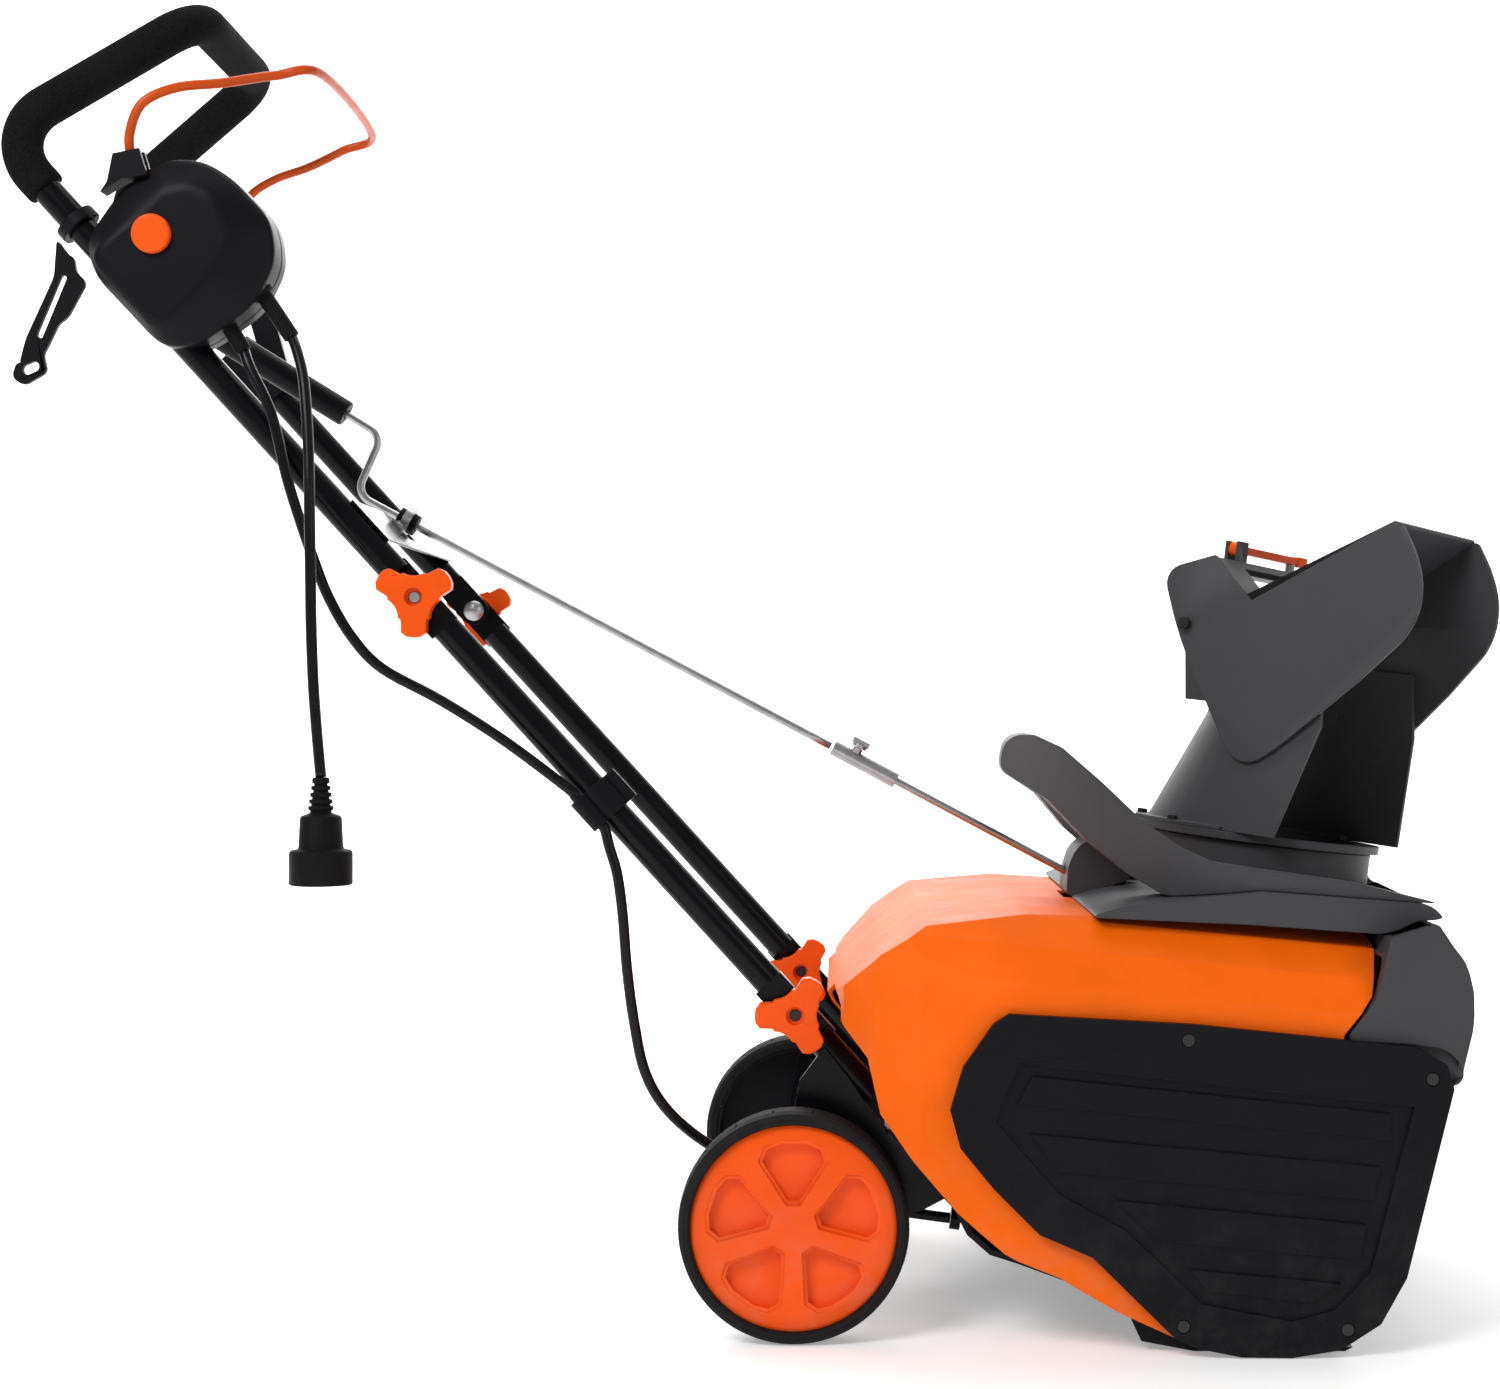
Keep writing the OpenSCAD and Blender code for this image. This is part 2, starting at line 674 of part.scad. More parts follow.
module chute_body() {
  color([0.29, 0.29, 0.3]) chute_frame() {
    difference() {
      chute_form(0, 76);
      translate([0, 0, -0.01]) scale([1, 1, 1.001]) chute_form(-3, 90);
      translate([-80, -100, 118]) rotate([0, 12, 0]) cube([60, 200, 60]);
      for (s = [-1, 1]) translate([hood_pivot.x, s * 60, hood_pivot.y - 30]) rotate([90, 0, 0])
        cylinder(h = 40, r = 2.5, center = true);
    }
    difference() {
      translate([0, 0, 3.2]) linear_extrude(3) difference() {
        circle(r = collar_r + 6);
        circle(r = collar_r - 10);
        translate([30, -100]) square([80, 200]);
      }
      for (a = chute_screw_turns) rotate(a) translate([collar_r + 1.6, 0, 0]) cylinder(h = 20, r = 2.05);
    }
    // ears that carry the hood
    for (s = [-1, 1]) difference() {
      translate([0, s * 62 - (s > 0 ? 0 : 3), 0]) rotate([90, 0, 0]) translate([0, 0, -3])
        linear_extrude(3) polygon([[-36, 100], [-44, 152], [-38, 170], [-24, 170], [20, 138], [20, 100]]);
      translate([hood_pivot.x, s * 64, hood_pivot.y]) rotate([90, 0, 0])
        cylinder(h = 20, r = 2.6, center = true);
    }
  }
}

module chute_screws() {
  color([0.7, 0.7, 0.72]) chute_frame() {
    for (a = chute_screw_turns) rotate(a) translate([collar_r + 1.6, 0, 0]) {
      translate([0, 0, -3.8]) cylinder(h = 12, r = 2);
      translate([0, 0, 6.4]) cylinder(h = 3, r = 4);
    }
    for (s = [-1, 1]) translate([hood_pivot.x, s * 70, hood_pivot.y]) rotate([s > 0 ? -90 : 90, 0, 0]) {
      translate([0, 0, -12]) cylinder(h = 24, r = 2.5);
      translate([0, 0, 12.4]) cylinder(h = 3, r = 5);
    }
  }
}

hood_pts = [[-62, 199], [-17, 214], [21, 181], [126, 248], [136, 247], [153, 222], [161, 196],
  [156, 168], [120, 128], [59, 68], [44, 57], [28, 57.6], [17, 69], [-22, 124], [-40, 152]];
hood_in = 6.3;
hood_tilt = 4;

// One flap of the hood, leaning in towards the mouth and the top
module hood_flap() {
  translate([-52, -81.5, hood_pivot.y]) rotate([-hood_tilt, 0, 0]) rotate([0, 0, hood_in])
    translate([52, 0, -hood_pivot.y]) rotate([90, 0, 0]) translate([0, 0, -3]) linear_extrude(3)
    polygon(hood_pts);
}

module chute_hood() {
  color([0.29, 0.29, 0.3]) chute_frame() {
    difference() {
      union() {
        hood_flap();
        mirror_y(true) hood_flap();
        // web over the top
        hull() for (s = [-1, 1]) {
          translate([20, s * 70.5, 178]) rotate([90, 0, 0]) cylinder(h = 3, r = 2, center = true);
          translate([128, s * 53.5, 246]) rotate([90, 0, 0]) cylinder(h = 3, r = 2, center = true);
        }
        // back wall between the flaps
        hull() for (s = [-1, 1]) {
          translate([20, s * 70.5, 178]) rotate([90, 0, 0]) cylinder(h = 3, r = 2, center = true);
          translate([-16, s * 71.5, 210]) rotate([90, 0, 0]) cylinder(h = 3, r = 2, center = true);
        }
      }
      translate([2, 0, 196]) rotate([0, 40, 0]) cube([30, 90, 24], center = true);
      translate([hood_pivot.x, 0, hood_pivot.y]) rotate([90, 0, 0])
        cylinder(h = 200, r = 2.55, center = true);
    }
    // shelf behind the web, with the latch lever's pivot
    translate([-40, -73, 202]) cube([28, 146, 3]);
    for (x = [-31, -20.4]) translate([x, lever_axis_y - 6, 204]) cube([3, 12, 24]);
    translate([-31, lever_axis_y, 222]) rotate([0, 90, 0]) cylinder(h = 13.6, r = 2);
  }
}

// Latch lever across the back of the hood, pivoted at its right end
lever_axis_y = -38;
module latch_lever() {
  color([0.92, 0.38, 0.05]) chute_frame() translate([-24, 0, 222]) difference() {
    union() {
      translate([-0.2, lever_axis_y, 0]) rotate([0, 90, 0]) cylinder(h = 7, r = 6, center = true);
      translate([-3.5, lever_axis_y, -3]) cube([6.6, 84, 6]);
      translate([-4, 42, -4]) cube([8, 12, 8]);
    }
    translate([0, lever_axis_y, 0]) rotate([0, 90, 0]) cylinder(h = 20, r = 2.06, center = true);
  }
}

module latch_spring() {
  color([0.75, 0.75, 0.77]) chute_frame() translate([-24, 36, 205.1]) difference() {
    cylinder(h = 13.8, r = 4);
    translate([0, 0, -1]) cylinder(h = 15, r = 2.8);
  }
}

// ---- crank ----

rod_dir = unit(rod_b - rod_a);
function on_rod(x) = rod_a + rod_dir * ((x - rod_a.x) / rod_dir.x);
coupler_x0 = -4;
coupler_x1 = 46;

module lower_crank_rod() {
  color([0.72, 0.72, 0.74]) {
    straight(at3(on_rod(coupler_x0 + 14), 0), at3(on_rod(206), 0)) circle(r = rod_r);
    straight(at3(on_rod(203), 0), at3(on_rod(222), 0)) circle(r = 7);
  }
}

module rod_coupler() {
  color([0.7, 0.7, 0.72]) difference() {
    union() {
      straight(at3(on_rod(coupler_x0), 0), at3(on_rod(coupler_x1), 0)) circle(r = 6);
      coupler_screw_at(12) cylinder(h = 9, r = 4);
    }
    straight(at3(on_rod(coupler_x0 - 2), 0), at3(on_rod(coupler_x1 + 2), 0)) circle(r = rod_r + 0.02);
    coupler_screw_at(12) cylinder(h = 12, r = 2.05);
  }
}

// Across the coupler, standing up from its axis
module coupler_screw_at(x) {
  p = on_rod(x);
  translate([p.x, 0, p.y]) rotate([0, 28, 0]) children();
}

module thumb_screw() {
  color([0.75, 0.75, 0.77]) coupler_screw_at(12) {
    translate([0, 0, 3.4]) cylinder(h = 9, r = 2);
    translate([0, 0, 9.3]) cylinder(h = 3, r = 6);
    translate([-7, -1.2, 11]) cube([14, 2.4, 5]);
  }
}

crank_pts = [[-497, 749.5], [-361.5, 666], rod_a, on_rod(coupler_x0 - 1.8)];

module upper_crank_rod() {
  color([0.75, 0.75, 0.77]) cord(bent_path([for (p = crank_pts) at3(p, 0)], 13), rod_r, 12);
}

module crank_grip() {
  a = lerp(crank_pts[1], crank_pts[0], 0.205);
  b = lerp(crank_pts[1], crank_pts[0], 1.015);
  color([0.06, 0.06, 0.07]) difference() {
    straight(at3(a, 0), at3(b, 0)) circle(r = 10.5);
    straight(at3(lerp(b, a, 1.05), 0), at3(lerp(a, b, 0.988), 0)) circle(r = rod_r + run);
  }
}

// ---- handle ----

module lower_tube(y, out) {
  tube_run(on_lower(24), on_lower(tube_span - 24), y);
  tongue(lower_pivot, tube_up, y + (out > 0 ? 0.4 : -tongue_t - 0.4), y + (out > 0 ? tongue_t + 0.4 : -0.4));
  tongue(upper_pivot, -tube_up, y + (out > 0 ? 0.4 : -tongue_t - 0.4), y + (out > 0 ? tongue_t + 0.4 : -0.4));
}

module lower_tube_right() {
  color([0.05, 0.05, 0.06]) lower_tube(-tube_y, -1);
}

module lower_tube_left() {
  color([0.05, 0.05, 0.06]) lower_tube(tube_y, 1);
}

grip_low = on_tube(461);
grip_top = [-482, 971];
grip_half = 97;
grip_bend = 37;
leg_end = 414;
foam_s = 406;
function handle_path(s) = bent_path([at3(on_tube(s), -tube_y), at3(grip_low, -tube_y),
  at3(grip_top, -grip_half), at3(grip_top, grip_half), at3(grip_low, tube_y), at3(on_tube(s), tube_y)],
  grip_bend);

module upper_handle_tube() {
  color([0.05, 0.05, 0.06]) {
    for (y = [-tube_y, tube_y]) tube_run(on_tube(24), on_tube(leg_end), y);
    bent_tube(handle_path(leg_end + run), tube_r, tube_r - tube_wall);
    tongue(upper_pivot, tube_up, -tube_y + 0.4, -tube_y + tongue_t + 0.4);
    tongue(upper_pivot, tube_up, tube_y - tongue_t - 0.4, tube_y - 0.4);
  }
}

module foam_grip() {
  color([0.03, 0.03, 0.03]) bent_tube(handle_path(foam_s), foam_d / 2, tube_r + eps);
}

module cross_brace() {
  color([0.5, 0.5, 0.52]) difference() {
    union() {
      slab(-tube_y - 5, tube_y + 5) polygon([on_tube(46, tube_r + 0.1), on_tube(46, tube_r + 2.1),
        on_tube(86, tube_r + 2.1), on_tube(86, tube_r + 0.1)]);
      slab(-100, 100) polygon([on_tube(86, tube_r + 0.1), on_tube(86, tube_r + 2.1),
        on_tube(94, tube_r - 5), on_tube(93, tube_r - 7)]);
    }
    slab(-12.4, 12.4) polygon([on_tube(58, 0), on_tube(58, 30), on_tube(110, 30), on_tube(110, 0)]);
  }
}

eye = on_rod(-341);
module rod_eye() {
  color([0.72, 0.72, 0.74]) difference() {
    union() {
      straight(at3(on_rod(-344), 0), at3(on_rod(-338), 0)) circle(r = 11.5);
      // tabs that rest on the brace beside its notch
      for (y = [-19, 8.8]) slab(y, y + 10.2) polygon([on_tube(66, tube_r + 2.2), on_tube(66, tube_r + 4.2),
        on_tube(77, tube_r + 4.2), on_tube(77, tube_r + 2.2)]);
      for (y = [-15.5, 15.5]) straight(at3(on_tube(71.5, tube_r + 4), y), at3(on_tube(71.5, tube_r + 6), y))
        circle(r = 2.6);
    }
    straight(at3(on_rod(-350), 0), at3(on_rod(-330), 0)) circle(r = 8.55);
  }
}

module rod_grommet() {
  color([0.05, 0.05, 0.05]) difference() {
    straight(at3(on_rod(-348), 0), at3(on_rod(-334), 0)) circle(r = 8.5);
    straight(at3(on_rod(-352), 0), at3(on_rod(-330), 0)) circle(r = rod_r + run);
  }
}

module pivot_bolt(p, y, head_in) {
  translate([p.x, y, p.y]) rotate([head_in * 90, 0, 0]) {
    translate([0, 0, -21]) cylinder(h = 33, r = pivot_r);
    translate([0, 0, 11.4]) intersection() {
      cylinder(h = 4.5, r = 8.6);
      translate([0, 0, -6.5]) sphere(r = 11);
    }
  }
}

// Upper bolts: heads on the inner side of both tubes
module pivot_bolts() {
  color([0.7, 0.7, 0.73]) {
    pivot_bolt(upper_pivot, -tube_y, -1);
    pivot_bolt(upper_pivot, tube_y, 1);
  }
}

// Three-lobed knob; its hub faces -Z and it stands up +Z
module star_knob(turn) {
  difference() {
    union() {
      cylinder(h = 7, r = 13);
      translate([0, 0, 3]) linear_extrude(12) rotate(turn) difference() {
        union() {
          circle(r = 19);
          for (a = [0, 120, 240]) rotate(a)
            polygon([[0, -10], [26, -9], [29, -5], [29.6, 0], [29, 5], [26, 9], [0, 10]]);
        }
        for (a = [60, 180, 300]) rotate(a) translate([31, 0]) circle(r = 15.5);
      }
    }
    translate([0, 0, -1]) cylinder(h = 20, r = pivot_r + run);
    translate([0, 0, 9]) cylinder(h = 8, r = 6.5);
  }
}

knob_gap = tongue_t + 0.7;

module knob_upper_right() {
  color([0.85, 0.32, 0.02]) translate([upper_pivot.x, -tube_y - knob_gap, upper_pivot.y])
    rotate([90, 0, 0]) star_knob(30);
}

module knob_upper_left() {
  color([0.85, 0.32, 0.02]) translate([upper_pivot.x, tube_y + knob_gap, upper_pivot.y])
    rotate([-90, 0, 0]) star_knob(-30);
}

module knob_lower_right() {
  color([0.85, 0.32, 0.02]) translate([lower_pivot.x, -tube_y - knob_gap, lower_pivot.y])
    rotate([90, 0, 0]) star_knob(60);
}

// The left lower knob is fitted from inside
module knob_lower_left() {
  color([0.8, 0.26, 0.04]) translate([lower_pivot.x, tube_y - knob_gap, lower_pivot.y])
    rotate([90, 0, 0]) star_knob(60);
}

clip_s = 210;
function clip_at(s) = at3(on_lower(clip_s + s) - tube_out * 12, -154);
module cable_clip() {
  p = on_lower(clip_s);
  color([0.05, 0.05, 0.06]) difference() {
    union() {
      tube_frame(p, -tube_y) cylinder(h = 26, r = tube_r + 3.5, center = true);
      tube_frame(p, -tube_y) translate([-12, -13, -13]) cylinder(h = 26, r = 7);
      tube_frame(p, -tube_y) translate([12, -4, -13]) cube([9, 8, 26]);
    }
    tube_frame(p, -tube_y) cylinder(h = 40, r = tube_r + 0.05, center = true);
    tube_frame(p, -tube_y) translate([-12, -13, -20]) cylinder(h = 40, r = cord_r + 0.4);
  }
}

// ---- switch box and bail ----

bail_pivot = [-512.6, 845];
bail_y = 165;
box_face_y = -180;
box_face = [[-541, 777], [-488, 720], [-449, 760], [-433, 790], [-448, 823], [-466, 831], [-487, 828]];
box_mid = [[-546, 790], [-538, 764], [-489, 712], [-462, 716], [-424, 744], [-408, 776], [-412, 806],
  [-440, 836], [-462, 849], [-490, 849], [-520, 828]];
box_split_y = -141;

module box_solid() {
  hull() {
    slab(box_face_y, box_face_y + 0.5) polygon(box_face);
    slab(-166, -150) polygon(box_mid);
  }
  hull() {
    slab(-160, -126) polygon(box_mid);
    slab(-108, -107.5) polygon(box_face);
  }
  // hump that carries the bail's right pivot
  slab(-168, -128) polygon([[-545, 790], [-533, 824], [-517, 834], [-500, 836], [-480, 820]]);
  slab(-159, -123) polygon([on_tube(258, -16), on_tube(258, 16), on_tube(356, 16), on_tube(356, -16)]);
}

module box_hollow() {
  hull() {
    slab(box_face_y + 2.5, box_face_y + 3) polygon([[-516, 777], [-488, 748], [-462, 770],
      [-448, 790], [-455, 812], [-468, 820], [-484, 817]]);
    slab(-154, -118) polygon([[-512, 782], [-488, 744], [-440, 750], [-424, 778], [-426, 802],
      [-444, 824], [-464, 836], [-486, 836]]);
  }
}

module box_shell() {
  difference() {
    box_solid();
    box_hollow();
    straight(at3(on_tube(225), -tube_y), at3(on_tube(400), -tube_y)) circle(r = tube_r + 0.05);
    slab(-bail_y - 12, -bail_y + 10)
      polygon([[-533, 824.1], [-517, 834.1], [-499, 836.2], [-499, 870], [-560, 870]]);
    power_gland(6 + run);
    motor_gland(6 + run);
    pin_y(button_at, box_face_y - 2, box_face_y + 12, 14.5);
  }
}

button_at = [-493.8, 792.6];

module switch_box_outer() {
  color([0.15, 0.15, 0.17]) intersection() {
    box_shell();
    translate([-700, box_split_y - 100, 600]) cube([400, 100 - eps / 2, 400]);
  }
}

module switch_box_inner() {
  color([0.12, 0.12, 0.13]) intersection() {
    box_shell();
    translate([-700, box_split_y, 600]) cube([400, 100, 400]);
  }
}

module switch_unit() {
  color([0.2, 0.2, 0.22]) translate([-470, -165, 776]) difference() {
    cube([26, 36, 32]);
    translate([8, -1, 26]) cube([10, 38, 10]);
  }
}

module lock_button() {
  color([0.95, 0.4, 0.08]) {
    pin_y(button_at, box_face_y - 5, box_face_y + 8, 14.2);
  }
}

bail_pts = [[-513, -165, 852.1], [-514, -165, 868], [-505, -165, 890], [-482, -159, 903],
  [-451, -145, 910], [-418, -126, 920], [-388, -99, 927.6], [-388, 99, 927.6], [-418, 126, 920],
  [-451, 145, 910], [-482, 159, 903], [-505, 165, 890], [-514, 165, 868], [-513, 165, 852.1]];

module bail() {
  color([0.85, 0.36, 0.1]) {
    cord(bent_path(bail_pts, 7), 3.6, 12);
    for (y = [-bail_y, bail_y]) difference() {
      pin_y(bail_pivot, y - 4, y + 4, 7);
      pin_y(bail_pivot, y - 8, y + 8, 2.5 + run);
    }
  }
}

// Pivot block on the switch box, and the clamp bracket on the left tube
module bail_mounts() {
  color([0.2, 0.2, 0.22]) {
    pin_y(bail_pivot, -bail_y - 8, -bail_y + 12, 2.5);
    for (y = [-bail_y - 9, -bail_y + 4.6]) slab(y, y + 4.4)
      polygon([[-524, 852], [-505, 856], [-499.5, 838], [-517, 836], [-528, 832]]);
    slab(-bail_y - 9, -bail_y + 9) polygon([[-533, 824.3], [-517, 834.3], [-499.5, 836.4],
      [-499.5, 838.4], [-517, 837.2], [-528, 832]]);
    pin_y(bail_pivot, bail_y - 12, bail_y + 8, 2.5);
    difference() {
      union() {
        slab(bail_y - 12, bail_y - 4.6)
          polygon([on_tube(296, 14), [-524, 852], [-503, 856], on_tube(250, 14)]);
        slab(tube_y - 15, tube_y + 15)
          polygon([on_tube(246, 15), on_tube(300, 15), on_tube(300, -15), on_tube(246, -15)]);
      }
      straight(at3(on_tube(240), tube_y), at3(on_tube(310), tube_y)) circle(r = tube_r + 0.05);
    }
  }
}

hook_s = 372;
module cord_hook() {
  p = on_tube(hook_s);
  color([0.1, 0.1, 0.11]) {
    tube_frame(p, -tube_y) difference() {
      cylinder(h = 8, r = tube_r + 5, center = true);
      cylinder(h = 20, r = tube_r + eps, center = true);
    }
    slab(-tube_y - 2.2, -tube_y + 2.2) difference() {
      union() {
        polygon([[-574, 796], [-566, 785], [-561, 782], [-559, 762], [-581, 716], [-592, 698], [-601, 706],
          [-597, 722], [-576, 768]]);
        polygon([[-570, 752], [-560, 772], [-552, 764], [-566, 738], [-584, 726], [-586, 732]]);
        polygon([[-604, 704], [-584, 712], [-581, 698], [-598, 688], [-607, 694]]);
      }
      polygon([[-570, 770], [-566, 768], [-585, 722], [-589, 725]]);
      polygon([[-600, 702], [-588, 707], [-586, 700], [-597, 695]]);
    }
  }
}

// ---- cables ----

cord_r = 4;
// Pigtail: out of the lower gland, over the tube, hanging beside it to the plug
pigtail_pts = [[-399, -152, 722], [-394, -158, 711], [-388, -166, 692], [-384, -174, 668], [-381, -181, 640],
  [-379, -187, 610], [-378, -190, 580], [-377.5, -190, 545], [-377, -190, 510], [-375.5, -190, 470],
  [-373, -190, 435], [-370, -190, 402]];
// Motor cable, upper run: down the outside of the right tube to the clip
cable_up_pts = [[-434, -152, 712], [-428, -157, 698], [-412, -161, 665], [-401, -162, 620], [-390, -163, 585],
  [-381, -164, 560], [-370, -164, 532], [-353, -164, 503], [-331, -163, 480], [-289, -161, 457],
  [-244, -157, 428], clip_at(24), clip_at(16), clip_at(8), clip_at(0.1)];
// Lower run: clip, down behind the right wheel, over the axle, into the pan
cable_low_pts = [clip_at(-0.1), clip_at(-8), clip_at(-16), [-167, -154.5, 350], [-161, -156, 330],
  [-157, -156, 300], [-154, -154, 260], [-149, -150, 220], [-142, -144, 185], [-128, -138, 158],
  [-104, -130, 134], [-70, -120, 112],
  [-34, -112, 98], [2, -106, 84], [40, -100, 74], [70, -96, 68.5], [84, -95, 66.5]];

module gland(p, q, r) {
  straight(p, lerp(p, q, 0.35)) circle(r = r + 2.5);
  straight(lerp(p, q, 0.35), q) circle(r = r);
}

module power_gland(r) {
  gland([-431, -152, 770], pigtail_pts[0], r);
}

module motor_gland(r) {
  gland([-458, -152, 752], cable_up_pts[0], r);
}

module cord_glands() {
  color([0.05, 0.05, 0.06]) {
    power_gland(6);
    motor_gland(6);
  }
}

module pigtail_cord() {
  color([0.05, 0.05, 0.06]) cord(smooth_route(pigtail_pts, 3), cord_r, 10);
}

module plug() {
  p = pigtail_pts[len(pigtail_pts) - 1];
  color([0.04, 0.04, 0.05]) translate([p.x, p.y, 0]) {
    rotate_extrude() polygon([[0, p.z], [5.5, p.z], [6, 390], [9.5, 377], [14.5, 374], [15.5, 352],
      [20, 350.5], [22.5, 349], [22.5, 325], [20, 325], [20, 340], [0, 340]]);
  }
  color([0.8, 0.7, 0.4]) translate([p.x, p.y, 0]) {
    for (y = [-7.1, 5.6]) translate([-3, y, 326]) cube([6, 1.5, 15]);
    translate([8, 0, 326]) cylinder(h = 15, r = 2.4);
  }
}

module motor_cable_upper() {
  color([0.05, 0.05, 0.06]) cord(smooth_route(cable_up_pts, 2), cord_r, 8);
}

module motor_cable_lower() {
  color([0.05, 0.05, 0.06]) cord(smooth_route(cable_low_pts, 2), cord_r, 8);
}

// ---- fasteners on the housing ----

module housing_fasteners() {
  color([0.6, 0.6, 0.63]) {
    for (left = [false, true]) mirror_y(left) {
      for (p = cover_screws) {
        pin_y(p, -side_y + 2.6, -plate_y + 2.9, 1.85);
        pin_y(p, -side_y + 0.4, -side_y + 2.6, 4.4);
      }
      for (p = pan_bolts) {
        straight(at3(p + pan_normal * 21, -142), at3(p - pan_normal * 3.5, -142)) circle(r = 3);
        straight(at3(p + pan_normal * 9, -142), at3(p + pan_normal * 4.2, -142)) circle(r = 5.5, $fn = 6);
      }
    }
    pivot_bolt(lower_pivot, -tube_y, -1);
    pivot_bolt(lower_pivot, tube_y, -1);
  }
}

// ---- the nodes ----

machine() auger_housing();
machine() motor_shroud();
machine() side_cover_right();
machine() side_cover_left();
machine() chute_collar();
machine() carry_handle();
machine() scraper_bar();
machine() base_pan();
machine() frame_tubes();
machine() wheel_brackets();
machine() axle_and_washers();
machine() motor();
machine() drive_belt();
machine() rotor_bearings();
machine() housing_fasteners();
machine() rotor_shaft();
machine() rotor_drum();
machine() rotor_paddles();
machine() rotor_pulley();
machine() motor_pulley();
machine() wheel_right();
machine() tyre_right();
machine() wheel_left();
machine() tyre_left();
machine() chute_ring();
machine() chute_body();
machine() chute_screws();
machine() chute_hood();
machine() latch_lever();
machine() latch_spring();
machine() lower_crank_rod();
machine() rod_coupler();
machine() thumb_screw();
machine() upper_crank_rod();
machine() crank_grip();
machine() lower_tube_right();
machine() lower_tube_left();
machine() upper_handle_tube();
machine() foam_grip();
machine() cross_brace();
machine() rod_eye();
machine() rod_grommet();
machine() pivot_bolts();
machine() knob_upper_right();
machine() knob_upper_left();
machine() knob_lower_right();
machine() knob_lower_left();
machine() cable_clip();
machine() switch_box_outer();
machine() switch_box_inner();
machine() switch_unit();
machine() lock_button();
machine() bail();
machine() bail_mounts();
machine() cord_hook();
machine() cord_glands();
machine() pigtail_cord();
machine() plug();
machine() motor_cable_upper();
machine() motor_cable_lower();
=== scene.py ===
# Electric snow blower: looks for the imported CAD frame.
# Metres, in the CAD's frame: X forward, Y to the operator's left, Z up.
import json
import math

import bmesh
import bpy
from mathutils import Matrix, Vector
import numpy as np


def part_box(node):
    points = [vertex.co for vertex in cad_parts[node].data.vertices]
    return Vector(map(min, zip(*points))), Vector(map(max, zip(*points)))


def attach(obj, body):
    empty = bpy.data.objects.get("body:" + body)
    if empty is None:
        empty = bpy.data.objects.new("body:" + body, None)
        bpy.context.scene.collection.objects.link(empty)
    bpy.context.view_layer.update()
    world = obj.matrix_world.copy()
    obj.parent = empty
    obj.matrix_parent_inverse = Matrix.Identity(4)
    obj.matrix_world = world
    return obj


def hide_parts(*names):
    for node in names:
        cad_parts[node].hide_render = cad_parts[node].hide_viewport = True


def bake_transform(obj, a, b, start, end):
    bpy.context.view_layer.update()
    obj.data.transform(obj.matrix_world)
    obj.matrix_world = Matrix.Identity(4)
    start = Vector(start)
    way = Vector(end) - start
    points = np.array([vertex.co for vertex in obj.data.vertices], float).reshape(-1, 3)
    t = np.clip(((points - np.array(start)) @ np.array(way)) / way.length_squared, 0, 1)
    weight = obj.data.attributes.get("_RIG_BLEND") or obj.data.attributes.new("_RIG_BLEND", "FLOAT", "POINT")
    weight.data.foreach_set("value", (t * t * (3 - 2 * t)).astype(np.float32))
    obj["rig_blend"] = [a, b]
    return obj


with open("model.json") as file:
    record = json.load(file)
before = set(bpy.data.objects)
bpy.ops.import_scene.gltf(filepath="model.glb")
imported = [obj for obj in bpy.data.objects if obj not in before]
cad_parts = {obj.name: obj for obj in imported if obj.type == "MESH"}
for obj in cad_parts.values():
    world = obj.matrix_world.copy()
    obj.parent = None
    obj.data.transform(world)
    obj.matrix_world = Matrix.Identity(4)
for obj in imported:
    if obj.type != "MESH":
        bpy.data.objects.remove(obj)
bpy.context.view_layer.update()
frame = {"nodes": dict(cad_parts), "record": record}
NODES = frame["nodes"]
SLOT_OF = {part["node"]: part["material_slot"] for part in frame["record"]["subparts"]}

MM = 0.001
# Distance from the CAD's side-outline datum to the row's origin
X_SHIFT = 0.0548


def side(x, y, z):
    """A point given in mm from the side-outline datum, in the row frame."""
    return Vector((x * MM + X_SHIFT, y * MM, z * MM))


# ---------------------------------------------------------------- camera, floor and lights

FILM_W_MM = 36.0
LENS_MM = 59.04
# The picture's middle lies behind the point that the camera faces, as a share of the film's width
SHIFT_X = -0.0587
CAMERA_DISTANCE = 1.95
CAMERA_HEIGHT = 0.4612
VIEW_END = 60
camera_data = bpy.data.cameras.new("camera")
camera_data.sensor_width = FILM_W_MM
camera_data.lens = LENS_MM
camera_data.shift_x = SHIFT_X
camera_data.clip_end = VIEW_END
camera = bpy.data.objects.new("camera", camera_data)
camera.location = (X_SHIFT, -CAMERA_DISTANCE, CAMERA_HEIGHT)
camera.rotation_euler = (math.radians(90), 0, 0)
bpy.context.scene.collection.objects.link(camera)
bpy.context.scene.camera = camera
bpy.context.scene.view_settings.view_transform = "Standard"


def area_light(name, place, aim, size, power):
    """A white rectangular lamp at place, facing aim; size in metres and power in watts."""
    data = bpy.data.lights.new(name, "AREA")
    data.shape = "RECTANGLE"
    data.size, data.size_y = size
    data.energy = power
    lamp = bpy.data.objects.new(name, data)
    lamp.location = place
    lamp.rotation_euler = (Vector(aim) - Vector(place)).to_track_quat("-Z", "Y").to_euler()
    bpy.context.scene.collection.objects.link(lamp)


area_light("key_light", place=(-1.5, -2.3, 2.6), aim=(0.1, 0, 0.35), size=(1.2, 1.2), power=66)
area_light("fill_light", place=(2.6, -2.4, 1.5), aim=(0.1, 0, 0.35), size=(1.4, 1.2), power=14)
area_light("top_light", place=(0.1, 0.6, 3.2), aim=(0.1, 0, 0.3), size=(2.4, 1.4), power=34)
area_light("rim_light", place=(-0.6, 2.9, 1.9), aim=(0.0, 0, 0.4), size=(2.0, 1.4), power=30)

